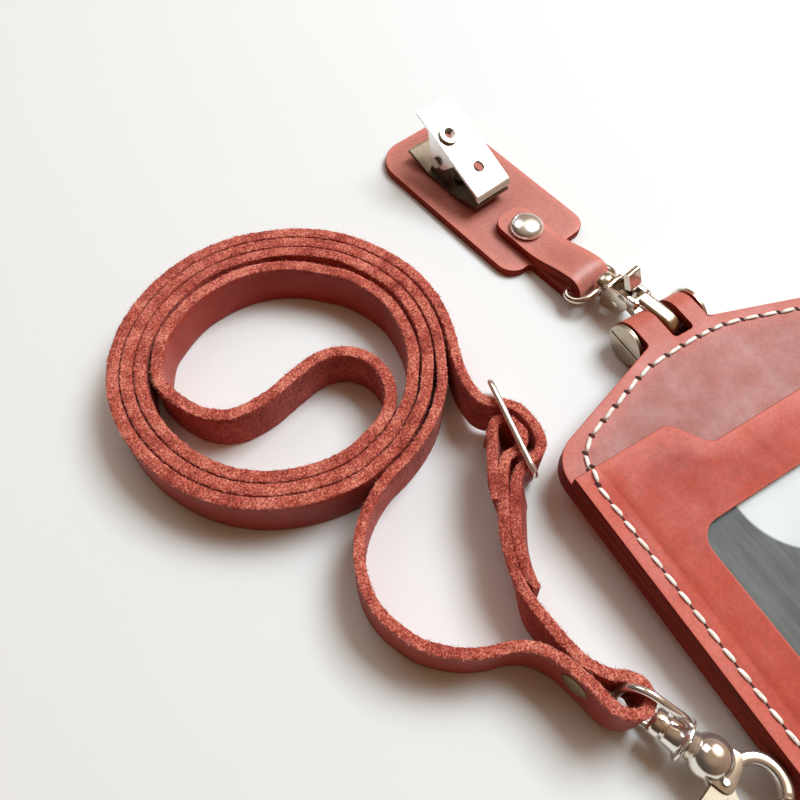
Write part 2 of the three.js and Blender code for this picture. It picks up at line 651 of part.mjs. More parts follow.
// Badge clip
const badgeLeft = BADGE_CENTRE_U - BADGE_HALF;
const badgeRight = BADGE_CENTRE_U + BADGE_HALF;
const badgeRise = (FINGER_Z - JAW_Z) / (FINGER_V - JAW_V);
const badgeAngle = Math.atan(badgeRise);
const plateZ = (v) => JAW_Z + (v - JAW_V) * badgeRise;
function throughPlate(radius, length, v, offset = 0) {
  const geometry = rod(radius, length, 'z', 0, 0, 0, 18);
  geometry.rotateX(badgeAngle);
  geometry.translate(BADGE_CENTRE_U + offset, v, plateZ(v));
  return geometry;
}
const upperArm = cut(
  join(
    across(band([
      [JAW_V - 0.7, JAW_Z - 1.3], [JAW_V, JAW_Z],
      [FINGER_V - 1, plateZ(FINGER_V - 1)], [FINGER_V, FINGER_Z - 0.2],
    ], BADGE_T), badgeLeft, badgeRight),
    ...[badgeLeft, badgeRight - PLATE_T].map((u) => across(outline([
      [BADGE_PIN_V - 5.4, plateZ(BADGE_PIN_V - 5.4)],
      [BADGE_PIN_V - 1.9, BADGE_PIN_Z - 1.2, 1.4], [BADGE_PIN_V + 1.9, BADGE_PIN_Z - 1.2, 1.4],
      [62.5, plateZ(62.5)],
    ], 3), u, u + PLATE_T)),
  ),
  throughPlate(BADGE_HOLE_R, 6, BADGE_HOLE_V),
  throughPlate(EYELET_BORE + 0.35 + BORE_PLAY, 6, EYELET_V, EYELET_U),
  rod(BADGE_PIN_R + BORE_PLAY, 20, 'x', BADGE_CENTRE_U, BADGE_PIN_V, BADGE_PIN_Z),
);
add('badge_upper_arm', upperArm, NICKEL, clip);

const eyelet = cut(
  join(
    throughPlate(EYELET_R, 0.6, EYELET_V, EYELET_U)
      .translate(0, -0.98 * Math.sin(badgeAngle), 0.98 * Math.cos(badgeAngle)),
    throughPlate(EYELET_BORE + 0.35, 2.4, EYELET_V, EYELET_U),
  ),
  throughPlate(EYELET_BORE, 6, EYELET_V, EYELET_U),
);
add('badge_eyelet', eyelet, STEEL, clip);

const armZ = TAB_T + SEAT + BADGE_T / 2;
const innerLeft = badgeLeft + PLATE_T + SEAT;
const innerRight = badgeRight - PLATE_T - SEAT;
const lowerArm = cut(
  join(
    across(band([
      [JAW_V - 0.7, JAW_Z - 2.7], [JAW_V, JAW_Z - 2.7], [JAW_V + 6.1, armZ], [BADGE_PIN_V + 3.1, armZ],
      [FINGER_V + 1.2, 4.3], [FINGER_V + 2, 4.4],
    ], BADGE_T), badgeLeft, badgeRight),
    ...[innerLeft, innerRight - PLATE_T].map((u) => across(outline([
      [BADGE_PIN_V - 3.9, armZ], [BADGE_PIN_V + 3.1, armZ], [BADGE_PIN_V + 1.6, BADGE_PIN_Z + 1.2, 1.2],
      [BADGE_PIN_V - 1.6, BADGE_PIN_Z + 1.2, 1.2],
    ], 3), u, u + PLATE_T)),
  ),
  rod(RIVET_SHANK_R + BORE_PLAY, 8, 'z', BADGE_CENTRE_U, MOUNT_V, armZ),
  rod(BADGE_PIN_R + BORE_PLAY, 20, 'x', BADGE_CENTRE_U, BADGE_PIN_V, BADGE_PIN_Z),
);
add('badge_lower_arm', lowerArm, NICKEL, clip);

const pinReach = BADGE_HALF + SEAT;
const badgePin = join(
  rod(BADGE_PIN_R, 2 * pinReach + 0.4, 'x', BADGE_CENTRE_U, BADGE_PIN_V, BADGE_PIN_Z),
  rod(1.2, 0.5, 'x', BADGE_CENTRE_U - pinReach - 0.25, BADGE_PIN_V, BADGE_PIN_Z),
  rod(1.2, 0.5, 'x', BADGE_CENTRE_U + pinReach + 0.25, BADGE_PIN_V, BADGE_PIN_Z),
);
add('badge_pin', badgePin, STEEL, clip);
add('badge_spring', coilSpring(
  1.35, 0.25, 3, BADGE_CENTRE_U - 1.6, BADGE_CENTRE_U + 1.6, BADGE_PIN_V, BADGE_PIN_Z,
), STEEL, clip);

const mountZ = armZ + BADGE_T / 2 + SEAT;
add('badge_rivet', join(
  rod(MOUNT_HEAD_R, 0.7, 'z', BADGE_CENTRE_U, MOUNT_V, mountZ + 0.35),
  rod(RIVET_SHANK_R, mountZ, 'z', BADGE_CENTRE_U, MOUNT_V, mountZ / 2 + 0.1),
), NICKEL, clip);

// Lanyard strap, a flat strap standing on its edge
function strapSection() {
  const h = STRAP_H / 2;
  const t = STRAP_T / 2;
  return [
    [-h, -t + STRAP_EDGE], [-h + STRAP_EDGE, -t], [h - STRAP_EDGE, -t], [h, -t + STRAP_EDGE],
    [h, t - STRAP_EDGE], [h - STRAP_EDGE, t], [-h + STRAP_EDGE, t], [-h, t - STRAP_EDGE],
  ];
}

function strapAlong(points, steps) {
  const path = new THREE.CatmullRomCurve3(
    points.map(([x, y, lift = 0]) => new THREE.Vector3(x, y, STRAP_Z + lift)), false, 'centripetal',
  );
  const shape = new THREE.Shape(strapSection().map(([a, b]) => new THREE.Vector2(a, b)));
  return new THREE.ExtrudeGeometry(shape, { steps, extrudePath: path, bevelEnabled: false });
}

// Radius of the coil against the angle it has turned through
function radiusAt(table, angle) {
  for (let i = 1; i < table.length; i += 1) {
    const [a0, r0] = table[i - 1];
    const [a1, r1] = table[i];
    if (angle <= a0 && angle >= a1) {
      const t = (angle - a0) / (a1 - a0);
      return r0 + (r1 - r0) * t * t * (3 - 2 * t);
    }
  }
  return table[table.length - 1][1];
}

function coilLine(table) {
  const line = [];
  const first = table[0][0];
  const last = table[table.length - 1][0];
  for (let angle = Math.floor(first / COIL_STEP) * COIL_STEP; angle >= last; angle -= COIL_STEP) {
    const turn = angle * Math.PI / 180;
    const radius = radiusAt(table, angle);
    line.push([COIL_X + radius * Math.cos(turn), COIL_Y + radius * Math.sin(turn)]);
  }
  return line;
}

const RIGHT_STRAND = [
  [-60, 22.2], [-76, 22.95], [-94, 23.7], [-150, 24.7], [-206, 25.7], [-250, 25.1], [-290, 24.8],
  [-330, 25.5], [-360, 26.1], [-390, 26.4], [-420, 27.2], [-436, 27.9], [-454, 28.6], [-510, 29.6],
  [-566, 30.6], [-610, 30.0], [-650, 29.7], [-690, 30.4], [-720, 31.1], [-740, 31.3],
];
const LEFT_STRAND = [
  [148, 23.1], [120, 22.2], [90, 21.6], [44, 21.3], [20, 22.3], [0, 23.1], [-36, 23.9], [-60, 24.75],
  [-76, 25.45], [-94, 26.15], [-150, 27.15], [-206, 28.15], [-250, 27.55], [-290, 27.25], [-330, 27.95],
  [-360, 28.6], [-390, 28.85],
];
const S_CURVE = [
  [-87.6, 106.9], [-87.2, 103.1], [-86.0, 99.7], [-84.1, 96.4], [-81.7, 94.3], [-79.0, 93.1],
  [-75.8, 92.9], [-72.1, 93.3], [-68.5, 94.3], [-65.0, 95.2], [-61.6, 95.9], [-58.6, 95.7],
  [-56.0, 94.6], [-54.0, 92.7], [-52.6, 89.9], [-52.3, 86.8], [-52.9, 83.8],
];
const coilPoints = [...coilLine(LEFT_STRAND).reverse(), ...S_CURVE, ...coilLine(RIGHT_STRAND)];

function pointToPiece(p, a, b) {
  const ab = [b[0] - a[0], b[1] - a[1]];
  const along = ((p[0] - a[0]) * ab[0] + (p[1] - a[1]) * ab[1]) / (ab[0] ** 2 + ab[1] ** 2);
  const t = THREE.MathUtils.clamp(along, 0, 1);
  return Math.hypot(p[0] - a[0] - ab[0] * t, p[1] - a[1] - ab[1] * t);
}

function leastGap(line, other, skip) {
  let least = Infinity;
  let where = null;
  line.forEach((p, i) => {
    for (let k = 0; k + 1 < other.length; k += 1) {
      if (skip && Math.abs(k - i) < skip) continue;
      const gap = pointToPiece(p, other[k], other[k + 1]);
      if (gap < least) {
        least = gap;
        where = p;
      }
    }
  });
  return `${(least - STRAP_T).toFixed(2)} at ${where.map((value) => value.toFixed(1)).join(', ')}`;
}
const coilTube = coilPoints.map(([x, y]) => [x, y, STRAP_Z]);
add('lanyard_coil', sweep(coilTube, strapSection()), SUEDE);

// Free stretches of the strap, with the lift over the ring wire and the hook eye
const RING_ROUTE = [
  [-36.99, 88.45], [-37.8, 86.4], [-38.6, 84.4], [-39.4, 82.1], [-40.3, 79.5, 0.4], [-41.1, 75.9, 1.3],
  [-41.1, 72.6, RING_LIFT], [-39.8, 70.8, RING_LIFT], [-38.1, 69.7, RING_LIFT],
  [-36.6, 67.4, RING_LIFT], [-36.2, 64.4, RING_LIFT], [-36.5, 61.8, RING_LIFT],
  [-37.2, 60.1, RING_LIFT], [-38.8, 58.8, RING_LIFT], [-41.1, 58.5, RING_LIFT],
  [-43.6, 57.6, RING_LIFT], [-45.5, 55.7, 1.5], [-47.2, 53.0, 1.0], [-48.6, 50.0, 0.5],
  [-49.5, 46.8, 0.1], [-50.3, 43.4], [-50.9, 40.4],
];
const HOOK_ROUTE = [
  [-41.5, 84.74], [-42.3, 83.2], [-44.1, 80.1], [-47, 76.9], [-50.2, 74.2], [-53.9, 72], [-57.9, 70.3],
  [-62.4, 68.9], [-66.3, 66.9], [-69.5, 64.5], [-71.8, 62], [-73.5, 59.2], [-74.8, 55.8],
  [-75.4, 52.4], [-75.1, 49], [-74.1, 45.9], [-72.6, 42.7], [-70.5, 40.3], [-67.6, 37.9],
  [-64.3, 36.2], [-61.0, 35.1, 0.1], [-58.6, 33.7, 0.2], [-57.2, 32.2, 0.4], [-56.2, 30.4, 0.7],
  [-55.4, 28.4, 1.0], [-54.9, 26.2, 1.3], [-54.6, 24.0, 1.5], [-54.3, 21.9, 1.8], [-53.5, 19.5, RING_LIFT],
  [-51.9, 17.9, RING_LIFT], [-50.0, 17.5, RING_LIFT], [-48.6, 18.7, RING_LIFT], [-48.2, 20.7, RING_LIFT],
  [-49.1, 22.8, 1.8], [-50.7, 24.6, 1.6], [-51.9, 26.4, 1.3], [-52.7, 28.4, 1.0], [-53.3, 30.6, 0.8],
  [-53.7, 33.0, 0.5], [-53.9, 35.6, 0.2], [-54.2, 38.3], [-54.3, 41.0, 0.1],
  [-54.0, 44.0, 0.4], [-53.1, 47.1, 0.8], [-51.7, 50.4, 1.2], [-49.8, 53.5, 1.6],
  [-47.8, 56.5, RING_LIFT], [-45.8, 59.4, RING_LIFT], [-43.6, 61.0, RING_LIFT],
  [-41.4, 61.0, RING_LIFT], [-39.8, 62.0, RING_LIFT], [-38.9, 63.6, RING_LIFT],
  [-39.3, 66.0, RING_LIFT], [-41.0, 67.7, RING_LIFT], [-43.2, 67.2, RING_LIFT],
  [-45.2, 64.9, RING_LIFT], [-47.0, 62.4, RING_LIFT], [-48.6, 59.9, RING_LIFT],
  [-50.2, 57.4, RING_LIFT],
];
console.log('least gap inside the coil', leastGap(coilPoints, coilPoints, 4));
console.log('least gap coil to ring route', leastGap(RING_ROUTE.slice(2), coilPoints, 0));
console.log('least gap coil to hook route', leastGap(HOOK_ROUTE.slice(2), coilPoints, 0));
console.log('least gap between the two routes', leastGap(RING_ROUTE, HOOK_ROUTE, 0));
add('lanyard_ring_end', strapAlong(RING_ROUTE, 60), SUEDE);

// The strap is folded round the hook eye and riveted to itself
const strapRivetFrame = new THREE.Matrix4().makeRotationZ(RIVET_TURN).setPosition(RIVET_X, RIVET_Y, RIVET_Z);
const rivetBore = rod(RIVET_SHANK_R + BORE_PLAY, 7, 'x', 0, 0, 0, 12).applyMatrix4(strapRivetFrame);
add('lanyard_hook_end', cut(strapAlong(HOOK_ROUTE, 80), rivetBore), SUEDE);
const rivetCap = dome(LANYARD_RIVET_R, 1.3, 0.4);
rivetCap.rotateY(-Math.PI / 2);
rivetCap.translate(-3.15, 0, 0);
const strapRivet = join(
  rivetCap,
  rod(RIVET_SHANK_R, 5.8, 'x', -0.1, 0, 0, 12),
  rod(2.0, 0.5, 'x', 2.85, 0, 0, 18),
).applyMatrix4(strapRivetFrame);
add('strap_rivet', strapRivet, NICKEL);

// Ring that gathers the strap ends
const ringAlong = new THREE.Vector3(0.183, 0.983, 0).normalize();
const ringLowZ = RING_WIRE_R + 0.1;
const ringHighZ = STRAP_Z + STRAP_H / 2 + RING_LIFT + SEAT + RING_WIRE_R;
const ringMid = new THREE.Vector3(RING_X, RING_Y, (ringLowZ + ringHighZ) / 2);
const ringUp = new THREE.Vector3(-ringAlong.y * RING_LEAN, ringAlong.x * RING_LEAN, ringHighZ - ringLowZ);
const ringHalfH = ringUp.length() / 2;
ringUp.normalize();
const ringPoints = evenly(outline([
  [-RING_HALF_L, -ringHalfH, 3.0], [RING_HALF_L, -ringHalfH, 3.0],
  [RING_HALF_L, ringHalfH, 3.0], [-RING_HALF_L, ringHalfH, 3.0],
], 4), 1.5).map((p) => (
  ringMid.clone().addScaledVector(ringAlong, p.x).addScaledVector(ringUp, p.y).toArray()
));
add('adjuster_ring', join(wire(ringPoints, RING_WIRE_R, 56, true, 8)), NICKEL);

// Swivel hook at the end of the strap, in a frame with its origin in the ball and +X towards the jaw
const lobster = new THREE.Matrix4().makeRotationZ(LOBSTER_TURN).setPosition(LOBSTER_X, LOBSTER_Y, 0);
const loopTop = STRAP_H + RING_LIFT + SEAT + RING_WIRE_R;
const loopLow = RING_WIRE_R + 0.1;
const lanyardEye = join(
  wire([
    [-14.3, 0, 8.6], [-13.9, 0, 11.5], [-12.6, 0, loopTop],
    [-9.4, 0, loopTop], [-7.6, 0, 10.8], [-6.0, 0, 8.3],
    [-4.9, 0, LOBSTER_Z + 0.7], [-4.9, 0, LOBSTER_Z - 0.7], [-6.0, 0, 3.1], [-7.6, 0, 1.5],
    [-9.4, 0, loopLow], [-12.6, 0, loopLow], [-13.9, 0, 1.8], [-14.3, 0, 4.4],
  ], RING_WIRE_R, 48, true, 8),
  rod(DISC_R, DISC_T, 'x', -BALL_R - SEAT - DISC_T / 2, 0, LOBSTER_Z, 20),
  rod(SWIVEL_R, 2.8, 'x', -BALL_R + 0.8, 0, LOBSTER_Z, 12),
);
add('lanyard_eye', lanyardEye, NICKEL, lobster);

const ball = mergeVertices(
  new THREE.SphereGeometry(BALL_R, 18, 12).deleteAttribute('normal').deleteAttribute('uv'), 1e-4,
);
ball.translate(0, 0, LOBSTER_Z);
const jawZ0 = LOBSTER_Z - JAW_WIRE / 2 - 0.3;
const jawZ1 = LOBSTER_Z + JAW_WIRE / 2 + 0.3;
const jawMid = JAW_R - JAW_WIRE / 2;
const lobsterBody = cut(
  join(
    ball,
    slab(band(arc(JAW_CENTRE_S, 0, jawMid, 176, 16, 14), JAW_WIRE), jawZ0, jawZ1),
    slab(outline([
      [0, -3.4, 0.8], [4.4, -3.6, 0.8], [4.2, 1, 0.5], [3.4, 3.2, 0.8], [0, 3.4],
    ], 3), jawZ0, jawZ1),
  ),
  rod(SWIVEL_R + BORE_PLAY, 5, 'x', -BALL_R + 0.5, 0, LOBSTER_Z, 12),
  rod(1.1 + 0.6 + BORE_PLAY, 1.4 + 2 * SEAT, 'z', GATE_PIN_S, GATE_PIN_T, LOBSTER_Z, 16),
  block(GATE_PIN_S - 6, GATE_PIN_S + 6, -9, GATE_PIN_T + 0.4, LOBSTER_Z - 0.7 - SEAT, LOBSTER_Z + 0.7 + SEAT),
  rod(LEVER_PIN_R + BORE_PLAY, 12, 'z', GATE_PIN_S, GATE_PIN_T, LOBSTER_Z, 12),
);
add('lobster_body', lobsterBody, NICKEL, lobster);

const gate = cut(
  join(
    slab(band([
      ...arc(JAW_CENTRE_S, 0, jawMid, 10, -140, 12), [GATE_PIN_S, GATE_PIN_T],
    ], JAW_WIRE - 0.4), LOBSTER_Z - 0.7, LOBSTER_Z + 0.7),
    rod(1.7, 1.4, 'z', GATE_PIN_S, GATE_PIN_T, LOBSTER_Z, 16),
    slab(outline([
      [GATE_PIN_S - 1.2, GATE_PIN_T], [GATE_PIN_S - 1.5, GATE_PIN_T - 2.2], [1.0, -6.8, 0.7],
      [2.6, -7.0, 0.7], [GATE_PIN_S + 1.2, GATE_PIN_T - 2], [GATE_PIN_S + 1.2, GATE_PIN_T],
    ], 3), LOBSTER_Z - 0.7, LOBSTER_Z + 0.7),
  ),
  rod(LEVER_PIN_R + BORE_PLAY, 12, 'z', GATE_PIN_S, GATE_PIN_T, LOBSTER_Z, 12),
);
add('lobster_gate', gate, NICKEL, lobster);
const gatePin = rod(LEVER_PIN_R, jawZ1 - jawZ0 + 1.2, 'z', GATE_PIN_S, GATE_PIN_T, LOBSTER_Z, 12);
add('lobster_pin', gatePin, STEEL, lobster);

export default object;
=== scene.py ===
"""Looks for the leather card holder with its clip tab and flat strap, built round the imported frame."""

import bpy
import bmesh
import random
from math import asin, atan2, ceil, cos, dist, pi, radians, sin, sqrt, tan
from mathutils import Matrix, Vector, noise
from mathutils.geometry import delaunay_2d_cdt
from mathutils.kdtree import KDTree


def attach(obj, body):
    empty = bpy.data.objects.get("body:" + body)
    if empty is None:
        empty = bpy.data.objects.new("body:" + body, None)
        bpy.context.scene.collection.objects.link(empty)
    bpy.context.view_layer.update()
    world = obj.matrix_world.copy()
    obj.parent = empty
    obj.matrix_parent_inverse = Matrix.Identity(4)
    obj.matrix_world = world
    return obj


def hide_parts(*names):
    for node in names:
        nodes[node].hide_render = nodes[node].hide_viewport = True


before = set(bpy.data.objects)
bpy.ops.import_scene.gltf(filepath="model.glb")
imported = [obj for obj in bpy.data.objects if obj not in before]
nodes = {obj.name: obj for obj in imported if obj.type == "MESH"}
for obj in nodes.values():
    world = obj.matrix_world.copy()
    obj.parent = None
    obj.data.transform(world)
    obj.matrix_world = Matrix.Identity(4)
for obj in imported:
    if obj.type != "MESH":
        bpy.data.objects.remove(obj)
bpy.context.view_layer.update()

# Sizes in millimetres, as in the part's source
ORIGIN_Y = 45.23
HALF_WIDTH = 36.3
BOTTOM_Y = -54.4
SHOULDER_Y = 57.6
GABLE_X = 8.3
GABLE_Y = SHOULDER_Y + 8.88
CORNER_R = 7
PANEL_T = 1.8
FRONT_T = 2.0
SEAT = 0.3
FRONT_TOP_Y = 52.2
FRONT_DIP_Y = 45.5
BACK_Z = PANEL_T + SEAT
FRONT_Z = BACK_Z + PANEL_T + SEAT
FRONT_TOP_Z = FRONT_Z + FRONT_T
POCKET_Z = BACK_Z + PANEL_T
WINDOW_HALF = 24.5
WINDOW_LOW_Y = -42
WINDOW_HIGH_Y = 34.7
EAR_LEFT = -6.6
EAR_RIGHT = 7.8
EAR_GAP = (-1.1, 3.7)
EAR_ROOT_Y = 66
TONGUE_END_Y = 60.6
ROLL_Y = 71
ROLL_Z = -0.6
ROLL_R = 4.5
POST_R = 2.4
STRAP_T = 1.8
STRAP_H = 9.5
FIBRES = 9000
LEAN = 15
TILT = asin((ROLL_R - ROLL_Z) / (ROLL_Y - BOTTOM_Y))
LIFT = -BOTTOM_Y * sin(TILT)
POST_Y = ROLL_Y * cos(TILT) - ROLL_Z * sin(TILT)
POST_Z = ROLL_Y * sin(TILT) + ROLL_Z * cos(TILT) + LIFT


def frame_at(turn, x, y):
    """A frame turned by some degrees on the table, its origin given in the part's millimetres."""
    return Matrix.Translation((x, y - ORIGIN_Y, 0)) @ Matrix.Rotation(radians(turn), 4, "Z")


TABLE = Matrix.Translation((0, -ORIGIN_Y, 0))
HOLDER = Matrix.Translation((0, -ORIGIN_Y, LIFT)) @ Matrix.Rotation(TILT, 4, "X")
HOOK = frame_at(11, 1.1, POST_Y)
CLIP = frame_at(8.5, 0.6, POST_Y)
LOBSTER = frame_at(-66.4, -44.6, 7.7)


def add_object(name, data):
    """A new object in the scene."""
    thing = bpy.data.objects.new(name, data)
    bpy.context.scene.collection.objects.link(thing)
    return thing


# Camera
PITCH, AZIMUTH, BANK = radians(59.37), radians(33.18), radians(1.9)
CAMERA_AT = (-0.0924, 0.02 - ORIGIN_Y / 1000, 0.1314)
camera_data = bpy.data.cameras.new("camera")
camera_data.lens = 36
camera_data.sensor_width = 36
camera_data.clip_start = 0.01
camera_data.clip_end = 20
ahead = Vector((sin(AZIMUTH) * cos(PITCH), cos(AZIMUTH) * cos(PITCH), -sin(PITCH)))
level = Vector((cos(AZIMUTH), -sin(AZIMUTH), 0))
above = level.cross(ahead)
right = cos(BANK) * level + sin(BANK) * above
up = -sin(BANK) * level + cos(BANK) * above
camera = add_object("camera", camera_data)
camera.matrix_world = Matrix([*((right[k], up[k], -ahead[k], CAMERA_AT[k]) for k in range(3)), (0, 0, 0, 1)])
bpy.context.scene.camera = camera


# Node materials
class Nodes:
    """A short way to write the node tree of a new material."""

    def __init__(self, name):
        self.material = bpy.data.materials.new(name)
        self.material.use_nodes = True
        self.tree = self.material.node_tree
        self.tree.nodes.clear()
        self.shader = self.add("ShaderNodeBsdfPrincipled")
        self.add("ShaderNodeOutputMaterial", {"Surface": self.shader.outputs[0]})
        self.where = self.add("ShaderNodeTexCoord").outputs["Object"]

    def put(self, socket, value):
        """Gives an input a value, or links it to another node's output."""
        if isinstance(value, bpy.types.NodeSocket):
            self.tree.links.new(value, socket)
        else:
            socket.default_value = value

    def add(self, kind, inputs=None, **settings):
        """A new node with its settings and inputs."""
        node = self.tree.nodes.new(kind)
        for name, value in settings.items():
            setattr(node, name, value)
        for name, value in (inputs or {}).items():
            self.put(node.inputs[name], value)
        return node

    def scaled(self, x, y, z, turn=0.0):
        inputs = {"Vector": self.where, "Scale": (x, y, z), "Rotation": (0, 0, turn)}
        return self.add("ShaderNodeMapping", inputs).outputs[0]

    def noise(self, scale, detail=4, rough=0.55, vector=None, distort=0.0):
        inputs = {"Vector": vector or self.where, "Scale": scale, "Detail": detail, "Roughness": rough}
        return self.add("ShaderNodeTexNoise", {**inputs, "Distortion": distort}).outputs["Fac"]

    def cells(self, scale, feature="F1"):
        inputs = {"Vector": self.where, "Scale": scale}
        return self.add("ShaderNodeTexVoronoi", inputs, feature=feature).outputs["Distance"]

    def ramp(self, fac, stops):
        node = self.add("ShaderNodeValToRGB", {"Fac": fac})
        points = node.color_ramp.elements
        while len(points) < len(stops):
            points.new(0.5)
        for point, (at, colour) in zip(points, stops):
            point.position = at
            point.color = (*colour, 1)
        return node.outputs["Color"]

    def level(self, fac, low, high, to_low=0.0, to_high=1.0, ease="LINEAR"):
        inputs = {"Value": fac, "From Min": low, "From Max": high, "To Min": to_low, "To Max": to_high}
        return self.add("ShaderNodeMapRange", inputs, interpolation_type=ease).outputs["Result"]

    def mix(self, fac, a, b, kind="MIX"):
        a, b = ((*c, 1) if isinstance(c, tuple) else c for c in (a, b))
        return self.add("ShaderNodeMix", {0: fac, 6: a, 7: b}, data_type="RGBA", blend_type=kind).outputs[2]

    def math(self, kind, a, b=0.0):
        return self.add("ShaderNodeMath", {0: a, 1: b}, operation=kind).outputs[0]

    def blend(self, a, share_a, b, share_b):
        return self.math("ADD", self.math("MULTIPLY", a, share_a), self.math("MULTIPLY", b, share_b))

    def axis(self, index):
        return self.add("ShaderNodeSeparateXYZ", {0: self.where}).outputs[index]

    def attribute(self, name):
        return self.add("ShaderNodeAttribute", attribute_name=name).outputs["Fac"]

    def bump(self, height, strength, distance, before=None):
        inputs = {"Height": height, "Strength": strength, "Distance": distance}
        if before:
            inputs["Normal"] = before
        return self.add("ShaderNodeBump", inputs).outputs[0]

    def finish(self, **values):
        """Sets the shader's inputs by name and returns the material."""
        for name, value in values.items():
            self.put(self.shader.inputs[name.replace("_", " ")], value)
        return self.material


class Sky(Nodes):
    """The same for the light that surrounds the scene."""

    def __init__(self, world):
        world.use_nodes = True
        self.tree = world.node_tree
        self.where = self.add("ShaderNodeTexCoord").outputs["Generated"]
        self.shader = self.tree.nodes["Background"]


def leather(name, dark, main, light, rim, sheen=0.1, rough=(0.42, 0.62), gloss=0.35, reach=(1.0, 4.5)):
    """Smooth waxed leather: cloudy colour, fine pores, pull-up marks and a paler zone along its rim that is
    painted light, for the pressed border catching the lamp; worn edges also turn towards the rim colour.
    """
    n = Nodes(name)
    cloud = n.noise(30, 6, 0.62)
    streak = n.noise(70, 5, 0.62, n.scaled(1.0, 0.35, 1.0, 0.6), 0.6)
    tone = n.blend(cloud, 0.6, streak, 0.4)
    colour = n.ramp(tone, [(0.3, dark), (0.48, main), (0.66, light)])
    # Painted highlight: the rim colour laid over a ragged strip, reach millimetres in from the edge, where the
    # pressed border catches the light.
    lit_strip_distance = n.math("ADD", n.attribute("rim"), n.math("MULTIPLY", n.noise(160, 4), 2.0))
    colour = n.mix(n.level(lit_strip_distance, reach[0] + 1, reach[1] + 1, 0.85, 0.0), colour, rim)
    speck = n.ramp(n.noise(1500, 3, 0.7), [(0.35, (0.78, 0.78, 0.78)), (0.6, (1.06, 1.06, 1.06))])
    colour = n.mix(0.7, colour, speck, "MULTIPLY")
    pores = n.ramp(n.cells(2600), [(0.05, (0.55, 0.5, 0.5)), (0.28, (1, 1, 1))])
    colour = n.mix(0.35, colour, pores, "MULTIPLY")
    colour = n.mix(n.math("MULTIPLY", n.attribute("wear"), 0.5), colour, rim)
    fine = n.bump(n.cells(2100, feature="SMOOTH_F1"), 0.22, 0.00006)
    grain = n.bump(n.noise(900, 5, 0.65), 0.35, 0.00008, fine)
    swell = n.bump(n.noise(90, 3, 0.5), 0.3, 0.0006, grain)
    roughness = n.level(n.noise(160, 4, 0.6), 0.3, 0.7, *rough)
    n.put(n.shader.inputs["Sheen Tint"], (1.0, 0.86, 0.84, 1))
    return n.finish(
        Base_Color=colour, Roughness=roughness, Normal=swell, Sheen_Weight=sheen, Sheen_Roughness=0.45,
        Specular_IOR_Level=gloss,
    )


def burnished(name, dark, light):
    """Polished cut edge: the layers rubbed into one dark band with faint lines along it."""
    n = Nodes(name)
    lines = n.noise(260, 5, 0.6, n.scaled(0.25, 0.25, 3.0))
    colour = n.ramp(lines, [(0.35, dark), (0.7, light)])
    bump = n.bump(n.noise(420, 4, 0.6, n.scaled(0.4, 0.4, 3.0)), 0.35, 0.0002)
    return n.finish(Base_Color=colour, Roughness=0.6, Normal=bump, Specular_IOR_Level=0.1)


def suede(name, dark, main, light, scale=1.0):
    """Cut edge of the leather: short fibres, pits and lint."""
    n = Nodes(name)
    fibre = n.noise(2900 * scale, 5, 0.72, None, 0.6)
    patch = n.noise(220 * scale, 4, 0.6)
    tone = n.blend(fibre, 0.72, patch, 0.28)
    colour = n.ramp(tone, [(0.4, dark), (0.5, main), (0.59, light)])
    pits = n.ramp(n.cells(2400 * scale), [(0.05, (0.16, 0.08, 0.07)), (0.42, (1, 1, 1))])
    colour = n.mix(0.75, colour, pits, "MULTIPLY")
    rough = n.bump(n.noise(2600 * scale, 5, 0.75), 0.9, 0.0003)
    lumps = n.bump(n.noise(1100 * scale, 4, 0.6, None, 0.8), 0.9, 0.0004, rough)
    n.put(n.shader.inputs["Sheen Tint"], (1.0, 0.8, 0.76, 1))
    return n.finish(Base_Color=colour, Roughness=0.95, Normal=lumps, Sheen_Weight=0.12, Sheen_Roughness=0.5)


def metal(name, base, rough, wear=0.06, warm=(0.9, 0.8, 0.68), metallic=1.0):
    """Plated metal with a faint grain, small dings and a warm cast in places."""
    n = Nodes(name)
    tint = n.ramp(n.noise(180, 3, 0.6), [(0.4, base), (0.72, tuple(a * b for a, b in zip(base, warm)))])
    marks = n.noise(900, 4, 0.7, n.scaled(1, 0.2, 1, 0.4))
    roughness = n.level(marks, 0.35, 0.75, rough, rough + wear * 2)
    dings = n.bump(n.noise(320, 3, 0.5), 0.1, 0.0002)
    return n.finish(Base_Color=tint, Metallic=metallic, Roughness=roughness, Normal=dings)


# Rim colour of the front: used for its painted highlight strip along the border and for its worn edges.
CORAL = (0.64, 0.15, 0.11)
front_red = leather(
    "front_leather", (0.31, 0.026, 0.012), (0.48, 0.06, 0.034), (0.64, 0.118, 0.074), CORAL, 0.03,
    (0.45, 0.65), 0.25, (0.8, 4.6),
)
# Partly painted sheen: the gable is the front's leather, and its paler, mauver palette stands in for the sheen
# it shows towards the light.
gable_red_with_painted_sheen = leather(
    "gable_leather", (0.31, 0.078, 0.054), (0.39, 0.104, 0.076), (0.46, 0.138, 0.104),
    (0.57, 0.125, 0.085), 0.15, (0.38, 0.55), 0.35, (1.5, 5.5),
)
